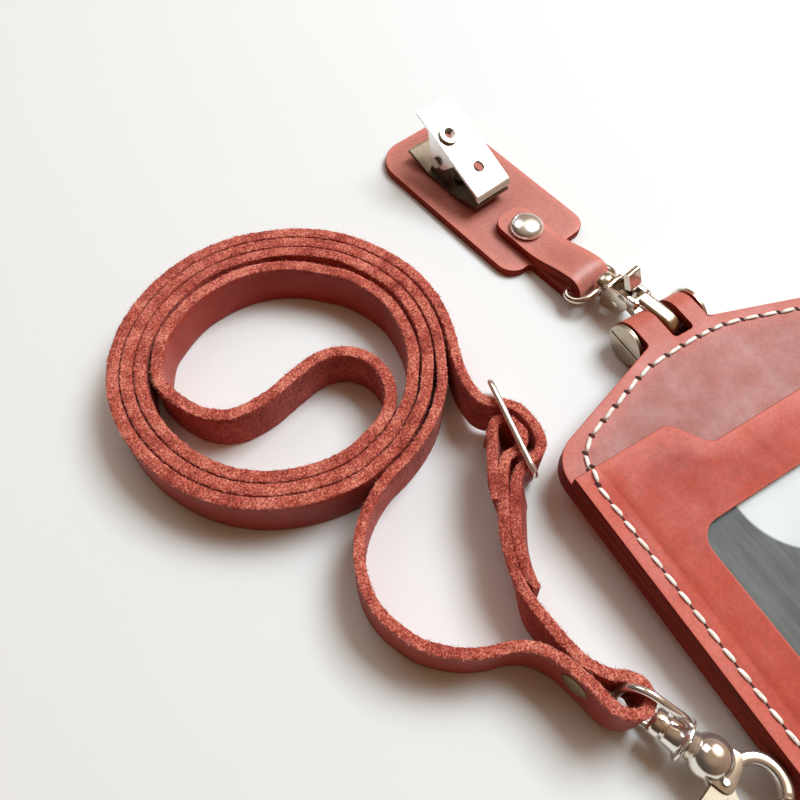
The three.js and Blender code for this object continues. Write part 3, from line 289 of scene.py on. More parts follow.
# Partly painted light: the tab's paler mauve palette stands in for its gloss towards the light, and it is made
# lighter overall to brighten where the clip's shadow falls.
tab_red_with_painted_sheen = leather(
    "tab_leather", (0.42, 0.12, 0.092), (0.51, 0.158, 0.122), (0.6, 0.205, 0.162),
    (0.66, 0.2, 0.15), 0.25, (0.36, 0.5), 0.45, (0.3, 2.0),
)
strap_red = leather(
    "strap_leather", (0.25, 0.02, 0.01), (0.36, 0.032, 0.017), (0.46, 0.058, 0.034),
    (0.56, 0.13, 0.095), 0.04, (0.42, 0.6), 0.25, (-3.0, -2.0),
)
raw_edge = burnished("raw_edge", (0.15, 0.012, 0.004), (0.3, 0.026, 0.01))
pale_edge = suede("pale_edge", (0.4, 0.08, 0.045), (0.64, 0.19, 0.12), (0.8, 0.33, 0.23))
strap_edge = suede("strap_suede", (0.2, 0.016, 0.008), (0.56, 0.08, 0.048), (0.95, 0.34, 0.24))
strap_flesh = suede("strap_flesh", (0.24, 0.02, 0.012), (0.48, 0.06, 0.038), (0.68, 0.14, 0.095), 0.85)
strap_lint = suede("strap_lint", (0.52, 0.1, 0.07), (0.78, 0.26, 0.2), (0.9, 0.42, 0.34))
nickel = metal("nickel", (0.8, 0.77, 0.71), 0.16)
polished = metal("polished_nickel", (0.97, 0.955, 0.93), 0.1, 0.03, (0.93, 0.86, 0.76), 0.9)
shaded = metal("shaded_nickel", (0.15, 0.115, 0.085), 0.4, 0.06)
aged = metal("aged_brass", (0.24, 0.175, 0.095), 0.5, 0.05)
screw_face = metal("screw_nickel", (0.52, 0.46, 0.37), 0.34, 0.05)
# Painted light: a paler copy of the nickel for the parts that face the lamp, the badge clip's upper arm and
# the cap rivet.
lit_nickel_copy = metal("lit_nickel_copy", (0.9, 0.89, 0.86), 0.2, 0.04, (0.97, 0.95, 0.92), 0.9)
cast_nickel = metal("cast_nickel", (0.72, 0.66, 0.58), 0.15, 0.08, (0.86, 0.72, 0.58))
steel = metal("steel", (0.5, 0.48, 0.45), 0.32)
# Painted shade: a darker copy of the nickel for the swivel hook's gate.
shade_darkened_nickel = metal("shade_darkened_nickel", (0.36, 0.31, 0.25), 0.3, 0.05)


def thread_material():
    """Waxed thread with its twist."""
    n = Nodes("waxed_thread")
    twist = n.noise(2200, 3, 0.6, n.scaled(1.0, 0.4, 1.0, 0.7))
    colour = n.ramp(twist, [(0.32, (0.7, 0.6, 0.5)), (0.48, (0.93, 0.88, 0.8)), (0.7, (0.98, 0.96, 0.92))])
    plies = n.bump(n.noise(3000, 3, 0.6, n.scaled(1.0, 0.35, 1.0, 0.7)), 0.6, 0.00012)
    return n.finish(Base_Color=colour, Roughness=0.6, Normal=plies, Sheen_Weight=0.2)


def hole_shade_material():
    """Painted shade: the dark inside of a pricked hole, laid flat on the leather."""
    n = Nodes("stitch_hole_shade")
    colour = n.ramp(n.noise(1500), [(0.3, (0.03, 0.006, 0.005)), (0.7, (0.075, 0.016, 0.012))])
    return n.finish(Base_Color=colour, Roughness=0.9, Normal=n.bump(n.noise(2500), 0.4, 0.0001))


def film_material():
    """Thin clear film, a little wavy."""
    n = Nodes("clear_film")
    tint = n.ramp(n.noise(60, 2), [(0.3, (0.9, 0.93, 0.94)), (0.7, (0.97, 0.98, 0.98))])
    soft = n.bump(n.noise(45, 2, 0.4), 0.25, 0.0012)
    roughness = n.level(n.noise(140, 3), 0.3, 0.7, 0.05, 0.12)
    return n.finish(Base_Color=tint, Roughness=roughness, Normal=soft, Alpha=0.04, Specular_IOR_Level=0.08)


def card_material():
    """Plain stiff insert: a dark grained ground with one large pale disc on it."""
    n = Nodes("card_print")
    x, y = n.math("ADD", n.axis(0), 0.002), n.math("ADD", n.axis(1), 0.012)
    far = n.math("SQRT", n.blend(x, x, y, y))
    disc = n.level(far, 0.0128, 0.0133, 1.0, 0.0)
    lines = n.noise(420, 5, 0.7, n.scaled(1.0, 0.05, 1.0, 0.9))
    knots = n.noise(160, 4, 0.6, n.scaled(1.0, 0.25, 1.0, 0.9), 1.0)
    shades = [(0.36, (0.012, 0.013, 0.011)), (0.5, (0.042, 0.045, 0.039)), (0.62, (0.09, 0.093, 0.085))]
    grey = n.ramp(n.blend(lines, 0.7, knots, 0.3), shades)
    pale = n.ramp(n.noise(90, 3), [(0.3, (0.64, 0.67, 0.67)), (0.7, (0.72, 0.75, 0.745))])
    return n.finish(
        Base_Color=n.mix(disc, grey, pale), Roughness=n.level(n.noise(300), 0.3, 0.7, 0.42, 0.56),
        Normal=n.bump(n.noise(1200, 3), 0.15, 0.00005), Specular_IOR_Level=0.2,
    )


thread = thread_material()
painted_hole_shade = hole_shade_material()
film = film_material()
card_print = card_material()


# Mesh helpers
def new_piece(
    name, verts, faces, materials, place, body, slot, stands_for=(), sharp=40, indices=None, **marks,
):
    """A piece from points in millimetres in one of the frames, riding on its CAD body."""
    mesh = bpy.data.meshes.new(name)
    mesh.from_pydata([(place @ Vector(v)) * 0.001 for v in verts], [], faces)
    piece = add_object(name, mesh)
    for material in materials:
        mesh.materials.append(material)
    mesh.polygons.foreach_set("use_smooth", [True] * len(mesh.polygons))
    if indices:
        mesh.polygons.foreach_set("material_index", indices)
    for mark, values in marks.items():
        mesh.attributes.new(mark, "FLOAT", "POINT").data.foreach_set("value", values)
    work = bmesh.new()
    work.from_mesh(mesh)
    bmesh.ops.remove_doubles(work, verts=work.verts, dist=1e-7)
    bmesh.ops.recalc_face_normals(work, faces=work.faces)
    work.to_mesh(mesh)
    work.free()
    mesh.set_sharp_from_angle(angle=radians(sharp))
    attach(piece, body)
    if stands_for:
        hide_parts(*stands_for)
    return piece


def rounded(points, steps=10):
    """Closed outline, counter-clockwise, with each corner rounded by its third number."""
    out = []
    count = len(points)
    for i, point in enumerate(points):
        x, y = point[:2]
        radius = point[2] if len(point) > 2 else 0
        if radius == 0:
            out.append(Vector((x, y)))
            continue
        here = Vector((x, y))
        before = (Vector(points[i - 1][:2]) - here).normalized()
        after = (Vector(points[(i + 1) % count][:2]) - here).normalized()
        half = before.angle(after) / 2
        centre = here + (before + after).normalized() * (radius / sin(half))
        start = here + before * (radius / tan(half)) - centre
        end = here + after * (radius / tan(half)) - centre
        first = atan2(start.y, start.x)
        turn = atan2(end.y, end.x) - first
        turn -= 2 * pi * round(turn / (2 * pi))
        for k in range(steps + 1):
            angle = first + turn * k / steps
            out.append(centre + Vector((cos(angle), sin(angle))) * radius)
    return out


def box_outline(left, low, right, high, radius, steps=10):
    """Rectangle with rounded corners, counter-clockwise."""
    corners = ((left, low), (right, low), (right, high), (left, high))
    return rounded([(x, y, radius) for x, y in corners], steps)


def dense(outline, step):
    """The outline with points no more than a step apart."""
    out = []
    for i, a in enumerate(outline):
        b = outline[(i + 1) % len(outline)]
        pieces = max(1, ceil((b - a).length / step - 1e-6))
        out += [a.lerp(b, k / pieces) for k in range(pieces)]
    return out


def inset(outline, amount):
    """The outline moved inward; a counter-clockwise one shrinks."""
    out = []
    count = len(outline)
    for i, p in enumerate(outline):
        a = (p - outline[i - 1]).normalized()
        b = (outline[(i + 1) % count] - p).normalized()
        na, nb = Vector((-a.y, a.x)), Vector((-b.y, b.x))
        mid = na + nb
        if mid.length < 1e-6:
            mid = na
        mid.normalize()
        out.append(p + mid * (amount / max(0.45, mid.dot(na))))
    return out


def inside(p, outline):
    """Whether a point lies inside a closed outline."""
    hit = False
    for i, a in enumerate(outline):
        b = outline[i - 1]
        if (a.y > p.y) != (b.y > p.y) and p.x < (b.x - a.x) * (p.y - a.y) / (b.y - a.y) + a.x:
            hit = not hit
    return hit


def nearness(lines, closed=True):
    """A quick way to ask how far a point lies from the nearest of some lines."""
    end = None if closed else -1
    points = [p for line in lines for p in dense([Vector(q[:2]) for q in line], 0.3)[:end]]
    tree = KDTree(max(1, len(points)))
    for i, p in enumerate(points):
        tree.insert((p.x, p.y, 0), i)
    tree.balance()
    return lambda v: tree.find((v[0], v[1], 0))[2] if points else 9.0


def plate(
    name, outline, z0, z1, materials, place, body, slot, stands_for=(), holes=(), top=(), hole_top=(),
    step=1.2, grid=4.0, bend=None, ripple=0.0, edge=0.28, creases=(), hollow=None, hole_low=None,
):
    """A piece cut from sheet: softened edges, pressed lines, then bent along a path.

    top is a list of (inset, height change) for the upper face, outside in. Materials are face, edge and
    hole edge. creases is a list of (open line, height change) pressed into the upper face. hollow tells
    how far the lower face is raised at a point, hole_low the height of the holes' lower rim.
    """
    outline = dense(outline, step)
    holes = [dense(h, step) for h in holes]
    verts, faces, index, worn = [], [], [], []

    def raised(p, z):
        return hollow(p) if hollow and z < (z0 + z1) / 2 else 0.0

    def loop(points, z, rub):
        first = len(verts)
        verts.extend((p.x, p.y, z + raised(p, z)) for p in points)
        worn.extend([rub] * len(points))
        return list(range(first, first + len(points)))

    def bridge(a, b, material):
        for i in range(len(a)):
            k = (i + 1) % len(a)
            faces.append((a[i], a[k], b[k], b[i]))
            index.append(material)

    def rings(points, profile, sign):
        """The wall along an outline, with both rims and the upper face's profile."""
        base = z0 if sign > 0 or hole_low is None else hole_low
        curve = [(edge * (1 - cos(t)), edge * (1 - sin(t))) for t in (0.0, 0.5, 1.05, pi / 2)]
        chain = [loop(inset(points, sign * d), base + drop, 0.6) for d, drop in curve[::-1]]
        chain += [loop(inset(points, sign * d), z1 - drop, 0.8) for d, drop in curve]
        chain += [loop(inset(points, sign * d), z1 + dz, max(0.0, 0.5 - d)) for d, dz in profile]
        for k in range(len(chain) - 1):
            on_edge = 1 <= k < 2 * len(curve) - 2
            bridge(chain[k], chain[k + 1], (1 if sign > 0 else 2) if on_edge else 0)
        return chain[0], chain[-1]

    outer_low, outer_top = rings(outline, top, 1)
    hole_pairs = [rings(h, hole_top, -1) for h in holes]

    def cap(ring, hole_rings, lines=()):
        """One face of the sheet, filled inside its ring and outside its holes."""
        borders = [ring, *hole_rings]
        names = [i for border in borders for i in border]
        shapes = [[Vector(verts[i][:2]) for i in border] for border in borders]
        points, edges = [], []
        for shape in shapes:
            edges += [(len(points) + i, len(points) + (i + 1) % len(shape)) for i in range(len(shape))]
            points += shape
        for line, drop in lines:
            edges += [(len(points) + i, len(points) + i + 1) for i in range(len(line) - 1)]
            points += [Vector(p) for p in line]
            names += range(len(verts), len(verts) + len(line))
            verts.extend((p[0], p[1], z1 + drop) for p in line)
            worn.extend([0.0] * len(line))
        lo = [min(p[k] for p in shapes[0]) for k in (0, 1)]
        hi = [max(p[k] for p in shapes[0]) for k in (0, 1)]
        count = [max(2, int((hi[k] - lo[k]) / grid)) for k in (0, 1)]
        z = verts[ring[0]][2]
        to_border, to_crease = nearness(shapes), nearness([line[:1] + line for line, drop in lines], False)
        for i in range(1, count[0]):
            for j in range(1, count[1]):
                p = Vector((lo[0] + (hi[0] - lo[0]) * i / count[0], lo[1] + (hi[1] - lo[1]) * j / count[1]))
                near = to_border(p)
                free = near > 0.45 * grid and to_crease(p) > 0.35 * grid
                if free and inside(p, shapes[0]) and not any(inside(p, s) for s in shapes[1:]):
                    lump = ripple * noise.noise(Vector((p.x * 0.05, p.y * 0.05, z0))) * min(1.0, near / 6)
                    points.append(p)
                    names.append(len(verts))
                    verts.append((p.x, p.y, z + lump + raised(p, z)))
                    worn.append(0.0)
        out = delaunay_2d_cdt(points, edges, [], 1, 1e-5)
        origin = []
        for point, given in zip(out[0], out[3]):
            if given:
                origin.append(names[given[0]])
            else:
                origin.append(len(verts))
                verts.append((point.x, point.y, z))
                worn.append(0.0)
        for face in out[2]:
            centre = sum((out[0][i] for i in face), Vector((0, 0))) / len(face)
            if inside(centre, shapes[0]) and not any(inside(centre, s) for s in shapes[1:]):
                faces.append(tuple(origin[i] for i in face))
                index.append(0)

    cap(outer_top, [h[1] for h in hole_pairs], creases)
    cap(outer_low, [h[0] for h in hole_pairs])
    to_rim = nearness([outline])
    rim = [to_rim(v) for v in verts]
    if bend:
        verts = [bend(Vector(v)) for v in verts]
    marks = {"wear": worn, "rim": rim}
    return new_piece(name, verts, faces, materials, place, body, slot, stands_for, 50, index, **marks)


def evenly(points, step=None, count=None):
    """The line through the points cut into equal steps, by their length or their number."""
    run = [0.0]
    for a, b in zip(points, points[1:]):
        run.append(run[-1] + (b - a).length)
    count = count or max(2, round(run[-1] / step))
    out, k = [], 0
    for i in range(count + 1):
        at = run[-1] * i / count
        while k < len(run) - 2 and run[k + 1] < at:
            k += 1
        out.append(points[k].lerp(points[k + 1], (at - run[k]) / max(1e-9, run[k + 1] - run[k])))
    return out


def between(a, b, low, high, at):
    """The value at a place between two others, or beyond them."""
    return a * ((high - at) / (high - low)) + b * ((at - low) / (high - low))


def smooth_path(points, step):
    """Even points along a centripetal curve through the given ones."""
    pts = [Vector(p) for p in points]
    pts = [pts[0] * 2 - pts[1], *pts, pts[-1] * 2 - pts[-2]]
    fine = []
    for i in range(1, len(pts) - 2):
        p0, p1, p2, p3 = pts[i - 1:i + 3]
        t0 = 0.0
        t1 = t0 + (p1 - p0).length ** 0.5
        t2 = t1 + (p2 - p1).length ** 0.5
        t3 = t2 + (p3 - p2).length ** 0.5
        for k in range(16):
            t = t1 + (t2 - t1) * k / 16
            a1, a2, a3 = between(p0, p1, t0, t1, t), between(p1, p2, t1, t2, t), between(p2, p3, t2, t3, t)
            fine.append(between(between(a1, a2, t0, t2, t), between(a2, a3, t1, t3, t), t1, t2, t))
    fine.append(pts[-2])
    return evenly(fine, step)


def bender(path, start, middle, flip=False):
    """Bends a flat pattern past a line: beyond start, travel follows the path in (travel, height)."""
    line = smooth_path([(a, b, 0) for a, b in path], 0.25)
    scale = (len(line) - 1) / sum((b - a).length for a, b in zip(line, line[1:]))

    def bend(v):
        travel = (start - v.y) if flip else (v.y - start)
        if travel <= 0:
            return v
        at = min(travel * scale, len(line) - 1.001)
        k = int(at)
        here = line[k].lerp(line[k + 1], at - k)
        before, after = line[max(0, k - 1)], line[min(len(line) - 1, k + 2)]
        along = (after - before).normalized()
        normal = Vector((along.y, -along.x, 0)) if flip else Vector((-along.y, along.x, 0))
        point = here + normal * (v.z - middle)
        return Vector((v.x, point.x, point.y))

    return bend


def arc(ca, cb, radius, first, last, steps):
    """Points along part of a circle, from one angle in degrees to another."""
    angles = [radians(first + (last - first) * i / steps) for i in range(steps + 1)]
    return [(ca + radius * cos(a), cb + radius * sin(a)) for a in angles]


def circle(radius, sides=14):
    """A circle round the origin."""
    angles = [2 * pi * k / sides for k in range(sides)]
    return [(radius * cos(a), radius * sin(a)) for a in angles]


def pill(half_x, half_y, radius):
    """Rounded rectangle round the origin."""
    return [tuple(p) for p in box_outline(-half_x, -half_y, half_x, half_y, radius, 5)]


def rounded_loop(corners, radius, steps=8, straight=6):
    """Closed line in space with rounded corners."""
    points = [Vector(p) for p in corners]
    out = []
    for i, p in enumerate(points):
        c = points[(i + 1) % len(points)]
        before, after = (points[i - 1] - p).normalized(), (c - p).normalized()
        cut = radius / tan(before.angle(after) / 2)
        a, b = p + before * cut, p + after * cut
        out += [a.lerp(p, t).lerp(p.lerp(b, t), t) for t in (k / steps for k in range(steps + 1))]
        out += [b.lerp(c - after * cut, k / straight) for k in range(1, straight)]
    return out


class Shape:
    """Closed forms gathered for one piece, in millimetres."""

    def __init__(self):
        self.verts, self.faces = [], []

    def rings(self, rings, closed=False):
        """A skin over rings of points; a ring of one point closes an end."""
        starts = []
        for ring in rings:
            starts.append(len(self.verts))
            self.verts += ring
        pairs = [(k, k + 1) for k in range(len(rings) - 1)] + ([(len(rings) - 1, 0)] if closed else [])
        for a, b in pairs:
            na, nb = len(rings[a]), len(rings[b])
            for k in range(max(na, nb)):
                n = (k + 1) % max(na, nb)
                face = [starts[a] + k % na, starts[a] + n % na, starts[b] + n % nb, starts[b] + k % nb]
                self.faces.append(tuple(dict.fromkeys(face)))
        for at, ring in ((0, rings[0]), (-1, rings[-1])):
            if not closed and len(ring) > 2:
                self.faces.append(tuple(range(starts[at], starts[at] + len(ring))))
        return self

    def turned(self, origin, axis, profile, sides=44):
        """A turned form; the profile holds (distance along the axis, radius)."""
        axis = Vector(axis).normalized()
        u = axis.orthogonal().normalized()
        v = axis.cross(u)
        return self.rings([
            [Vector(origin) + axis * at] if radius < 1e-6 else [
                Vector(origin) + axis * at + u * a + v * b for a, b in circle(radius, sides)
            ] for at, radius in profile
        ])

    def swept(self, path, section, across, closed=False, size=None):
        """A section carried along a path, its x kept as near as can be to one direction."""
        points = [Vector(p) for p in path]
        count, rings = len(points), []
        for i, p in enumerate(points):
            before = points[i - 1] if closed or i else p
            after = points[(i + 1) % count] if closed or i < count - 1 else p
            along = (after - before).normalized()
            x = Vector(across)
            x = (x - along * x.dot(along)).normalized()
            y = along.cross(x)
            share = size(i / (count - 1)) if size else 1.0
            rings.append([p + (x * a + y * b) * share for a, b in section])
        return self.rings(rings, closed)

    def slab(self, outline, low, high, edge=0.15, place=Matrix()):
        """A flat form with softened edges."""
        chain = [(edge, low), (edge * 0.3, low + edge * 0.3), (0, low + edge)]
        chain += [(d, low + high - z) for d, z in chain[::-1]]
        return self.rings([[place @ Vector((p.x, p.y, z)) for p in inset(outline, d)] for d, z in chain])

    def piece(self, name, material, place, body, slot, stands_for=(), sharp=44):
        return new_piece(name, self.verts, self.faces, [material], place, body, slot, stands_for, sharp)


# Strap route, close to the part's source: turns of the coil as (degrees, radius), the rest as (x, y, lift)
COIL = Vector((-66.3, 99.44))
RIGHT_STRAND = [
    (-60, 22.2), (-76, 22.95), (-94, 23.7), (-150, 24.7), (-206, 25.7), (-250, 25.1), (-290, 24.8),
    (-330, 25.5), (-360, 26.1), (-390, 26.4), (-420, 27.2), (-436, 27.9), (-454, 28.6), (-510, 29.6),
    (-566, 30.6), (-610, 30), (-650, 29.7), (-690, 30.4), (-720, 31.1), (-740, 31.3),
]
LEFT_STRAND = [
    (148, 23.1), (120, 22.2), (90, 21.6), (44, 21.3), (20, 22.3), (0, 23.1), (-36, 23.9), (-60, 24.75),
    (-76, 25.45), (-94, 26.15), (-150, 27.15), (-206, 28.15), (-250, 27.55), (-290, 27.25), (-330, 27.95),
    (-360, 28.6), (-390, 28.85),
]
S_CURVE = [
    (-87.6, 106.9), (-87.2, 103.1), (-86, 99.7), (-84.1, 96.4), (-81.7, 94.3), (-79, 93.1),
    (-75.8, 92.9), (-72.1, 93.3), (-68.5, 94.3), (-65, 95.2), (-61.6, 95.9), (-58.6, 95.7),
    (-56, 94.6), (-54, 92.7), (-52.6, 89.9), (-52.3, 86.8), (-52.9, 83.8),
]
RING_ROUTE = [
    (-36.99, 88.45), (-37.8, 86.4), (-38.6, 84.4), (-39.4, 82.1), (-40.3, 79.5, 0.4), (-41.1, 75.9, 1.3),
    (-41.1, 72.6, 1.9), (-39.8, 70.8, 1.9), (-38.1, 69.7, 1.9), (-36.6, 67.4, 1.9), (-36.2, 64.4, 1.9),
    (-36.5, 61.8, 1.9), (-37.2, 60.1, 1.9), (-38.8, 58.8, 1.9), (-41.3, 58.4, 1.9), (-44, 57.4, 1.9),
    (-46.1, 55.4, 1.7), (-48.1, 52.5, 1.4), (-49.97, 49.5, 1.1), (-51.3, 46.4, 0.8), (-52.1, 43.6, 0.4),
    (-52.35, 41, 0.1), (-52.4, 40.2, 0.1),
]
HOOK_ROUTE = [
    (-41.5, 84.74), (-42.3, 83.2), (-44.1, 80.1), (-47, 76.9), (-50.2, 74.2), (-53.9, 72), (-57.9, 70.3),
    (-62.4, 68.9), (-66.3, 66.9), (-69.5, 64.5), (-71.8, 62), (-73.5, 59.2), (-74.8, 55.8), (-75.4, 52.4),
    (-75.1, 49), (-74.1, 45.9), (-72.6, 42.7), (-70.5, 40.3), (-67.6, 37.9), (-64.3, 36.2), (-61, 35.1, 0.1),
    (-58.6, 33.7, 0.2), (-57.2, 32.2, 0.4), (-56.2, 30.4, 0.7), (-55.4, 28.4, 1), (-54.9, 26.2, 1.3),
    (-54.4, 24, 1.5), (-54.2, 21.9, 1.8), (-53.5, 19.5, 1.9), (-51.9, 17.9, 1.9), (-50, 17.5, 1.9),
    (-48.6, 18.7, 1.9), (-48.2, 20.7, 1.9), (-49.4, 22.6, 1.8), (-51.4, 24.3, 1.6), (-52.7, 26.3, 1.3),
    (-53.4, 28.3, 1), (-53.8, 30.6, 0.8), (-54, 33, 0.5), (-54.1, 35.6, 0.2), (-54.3, 38.3),
    (-54.3, 41, 0.1), (-54, 44, 0.4), (-53.1, 47.1, 0.8), (-51.7, 50.4, 1.2), (-49.8, 53.5, 1.6),
    (-47.8, 56.5, 1.9), (-45.8, 59.4, 1.9), (-43.6, 61, 1.9), (-41.4, 61, 1.9), (-39.8, 62, 1.9),
    (-38.9, 63.6, 1.9), (-39.3, 66, 1.9), (-41, 67.5, 1.9), (-42.9, 66.6, 1.9), (-44.6, 64.3, 1.9),
    (-46.3, 61.8, 1.9), (-47.9, 59.3, 1.9), (-49.4, 56.9, 1.9), (-50.1, 55.6, 1.9),
]


def soft_step(t):
    """0 below 0, 1 above 1, smooth between."""
    t = max(0.0, min(1.0, t))
    return t * t * (3 - 2 * t)


def radius_at(strand, angle):
    """Radius of a strand of the coil at an angle."""
    for (a0, r0), (a1, r1) in zip(strand, strand[1:]):
        if a1 <= angle <= a0:
            return r0 + (r1 - r0) * soft_step((angle - a0) / (a1 - a0))
    return strand[-1][1]


def coil_line(strand, step=10):
    """Points along one strand of the coil."""
    angles = range(strand[0][0] // step * step, strand[-1][0] - 1, -step)
    turns = [(radius_at(strand, a), radians(a)) for a in angles]
    return [COIL + radius * Vector((cos(a), sin(a))) for radius, a in turns]


def standing(route):
    """The route as the middle line of a strap on its edge, with its lift where it has one."""
    return [Vector((p[0], p[1], STRAP_H / 2 + 0.08 + (p[2] if len(p) > 2 else 0.0))) for p in route]


STRAP_STEP = 0.45
FULL_THICK = 2.15
coil = standing([*coil_line(LEFT_STRAND)[::-1], *S_CURVE, *coil_line(RIGHT_STRAND)])
ends = [standing(RING_ROUTE)[::-1], standing(HOOK_ROUTE)]
if (coil[0] - ends[0][-1]).length > (coil[-1] - ends[0][-1]).length:
    coil.reverse()
strap_line = smooth_path([*ends[0], *coil, *ends[1]], STRAP_STEP)


def lean_at(p, along):
    """How far the doubled part under the ring and the free end beside it lean over, in radians."""
    if not -57 < p.x < -41 or abs(along.y) < 0.3:
        return 0.0
    away = min(1.0, (abs(along.y) - 0.3) / 0.4)
    if along.y < 0:
        return -radians(LEAN) * away if 54 < p.y < 67 else 0.0
    if not 34 < p.y < 61:
        return 0.0
    return radians(LEAN) * soft_step((p.y - 36) / 10) * away


def strap_section(half, thick):
    """Points (across, up, part) round the strap; part 0 is the smooth side, 1 a cut edge, 2 the flesh side."""
    ladder = [-half + 0.25 + (2 * half - 0.47) * k / 5 for k in range(6)]
    points = [(thick, b, 2) for b in ladder]
    points += [(thick * a, half - 0.1 * a * a, 1) for a in (0.92, 0.6, 0.2, -0.2, -0.6, -0.92)]
    points += [(-thick, b, 0) for b in ladder[::-1]]
    return [*points, (-thick * 0.85, -half, 1), (thick * 0.85, -half, 1)]


def strap_piece():
    """The whole strap as one piece: a smooth side, a flesh side, rough cut edges and loose fibres on them."""
    half = STRAP_H / 2
    count = len(strap_line)
    first_coil, last_coil = (
        min(range(count), key=lambda i: (strap_line[i] - end).length) for end in (coil[0], coil[-1])
    )
    verts, faces, index, worn, frames = [], [], [], [], []
    for i, p in enumerate(strap_line):
        before, after = strap_line[max(0, i - 2)], strap_line[min(count - 1, i + 2)]
        along = Vector((after.x - before.x, after.y - before.y, 0)).normalized()
        side = Vector((-along.y, along.x, 0))
        depth = min(i - first_coil, last_coil - i) * STRAP_STEP
        thick = (STRAP_T + (FULL_THICK - STRAP_T) * max(0.0, min(1.0, depth / 20))) / 2
        to_end = min(i, count - 1 - i) * STRAP_STEP
        thick *= 0.55 + 0.45 * min(1.0, to_end / 2.5)
        lean = lean_at(p, along)
        top = p + Vector((0, 0, half + 0.12 * noise.noise(Vector((i * 0.06, 3.0, 0)))))
        frames.append((top, side, along, thick, lean))
        section = strap_section(half, thick)
        for k, (a, b, part) in enumerate(section):
            rough = 0.3 if part == 1 and b > 0 else 0.1 if part == 2 else 0.02
            a += rough * noise.noise(Vector((i * 0.55, k * 1.3, 5.0)))
            d = b - half + 0.8 * rough * noise.noise(Vector((i * 0.62, k * 1.1, 9.0)))
            lateral = a * cos(lean) + d * sin(lean)
            verts.append(top + side * lateral + Vector((0, 0, d * cos(lean) - a * sin(lean))))
            worn.append(0.35 if b > half - 0.5 else 0.0)
    sides = len(section)
    for i in range(count - 1):
        for k in range(sides):
            n = (k + 1) % sides
            faces.append((i * sides + k, i * sides + n, (i + 1) * sides + n, (i + 1) * sides + k))
            index.append(section[k][2] if section[k][2] == section[n][2] else 1)
    for i in (0, count - 1):
        faces.append(tuple(i * sides + k for k in range(sides)))
        index.append(1)
    fibres = random.Random(41)
    for k in range(FIBRES):
        top, side, along, thick, lean = frames[fibres.randrange(count)]
        across = fibres.choice((-1, 1, 1, fibres.uniform(-1, 1))) * thick
        root = top + side * (across * cos(lean)) + along * fibres.uniform(-0.3, 0.3)
        root.z -= 0.12 + across * sin(lean) + (fibres.random() ** 3 * 3.0 if across > 0.9 * thick else 0.0)
        out = side * (across / thick * fibres.uniform(0.2, 1.0)) + along * fibres.uniform(-0.9, 0.9)
        out += Vector((0, 0, fibres.uniform(0.1, 1.0)))
        out = out.normalized() * (0.2 + 0.55 * fibres.random() ** 2)
        broad = out.cross(Vector([fibres.uniform(-1, 1) for axis in range(3)])).normalized()
        first = len(verts)
        verts += [root - broad * 0.05, root + broad * 0.05, root + out]
        worn += [0.0] * 3
        faces.append((first, first + 1, first + 2))
        index.append(3)
    return new_piece(
        "lanyard_strap", verts, faces, [strap_red, strap_edge, strap_flesh, strap_lint], TABLE, "holder",
        "strap_leather", ("lanyard_coil", "lanyard_ring_end", "lanyard_hook_end"), 60, index, wear=worn,
    )


strap = strap_piece()
strap_path = [(TABLE @ p) * 0.001 for p in strap_line]

# Rivet that closes the fold round the hook's eye, its cap nearly flush
STUD_AT = Vector((-54.2, 26.2))
at = min(range(len(strap_line) * 2 // 3, len(strap_line)), key=lambda k: (strap_line[k].xy - STUD_AT).length)
stud_along = (strap_line[at + 2] - strap_line[at - 2]).normalized()
stud_out = Vector((stud_along.y, -stud_along.x, 0)).normalized()
if stud_out.x + stud_out.y > 0:
    stud_out = -stud_out
face = strap_line[at] + stud_out * (STRAP_T / 2)
stud = Shape().turned((face.x, face.y, strap_line[at].z + 0.9), stud_out, [
    (0.42, 0), (0.4, 1), (0.3, 1.9), (0.12, 2.3), (-0.05, 2.3), (-0.1, 1), (-4.3, 1), (-4.3, 1.5),
    (-4.4, 1.5), (-4.4, 0),
])
stud.piece("strap_stud", aged, TABLE, "holder", "nickel", ("strap_rivet",), 34)

# Holder panels
feet = [(-HALF_WIDTH, BOTTOM_Y, CORNER_R), (HALF_WIDTH, BOTTOM_Y, CORNER_R)]
shoulders = [(HALF_WIDTH, SHOULDER_Y, CORNER_R), (-HALF_WIDTH, SHOULDER_Y, CORNER_R)]
rear_outline = rounded([
    *feet, shoulders[0], (EAR_RIGHT + 0.5, GABLE_Y), (EAR_RIGHT + 0.5, TONGUE_END_Y - 0.4),
    (EAR_LEFT - 0.5, TONGUE_END_Y - 0.4), (EAR_LEFT - 0.5, GABLE_Y), shoulders[1],
])
plate(
    "rear_leather", rear_outline, 0, BACK_Z - 0.02, [front_red, raw_edge, raw_edge], HOLDER, "holder",
    "smooth_leather", ("rear_panel",), top=[(0.5, 0)], grid=5, edge=0.07,
)

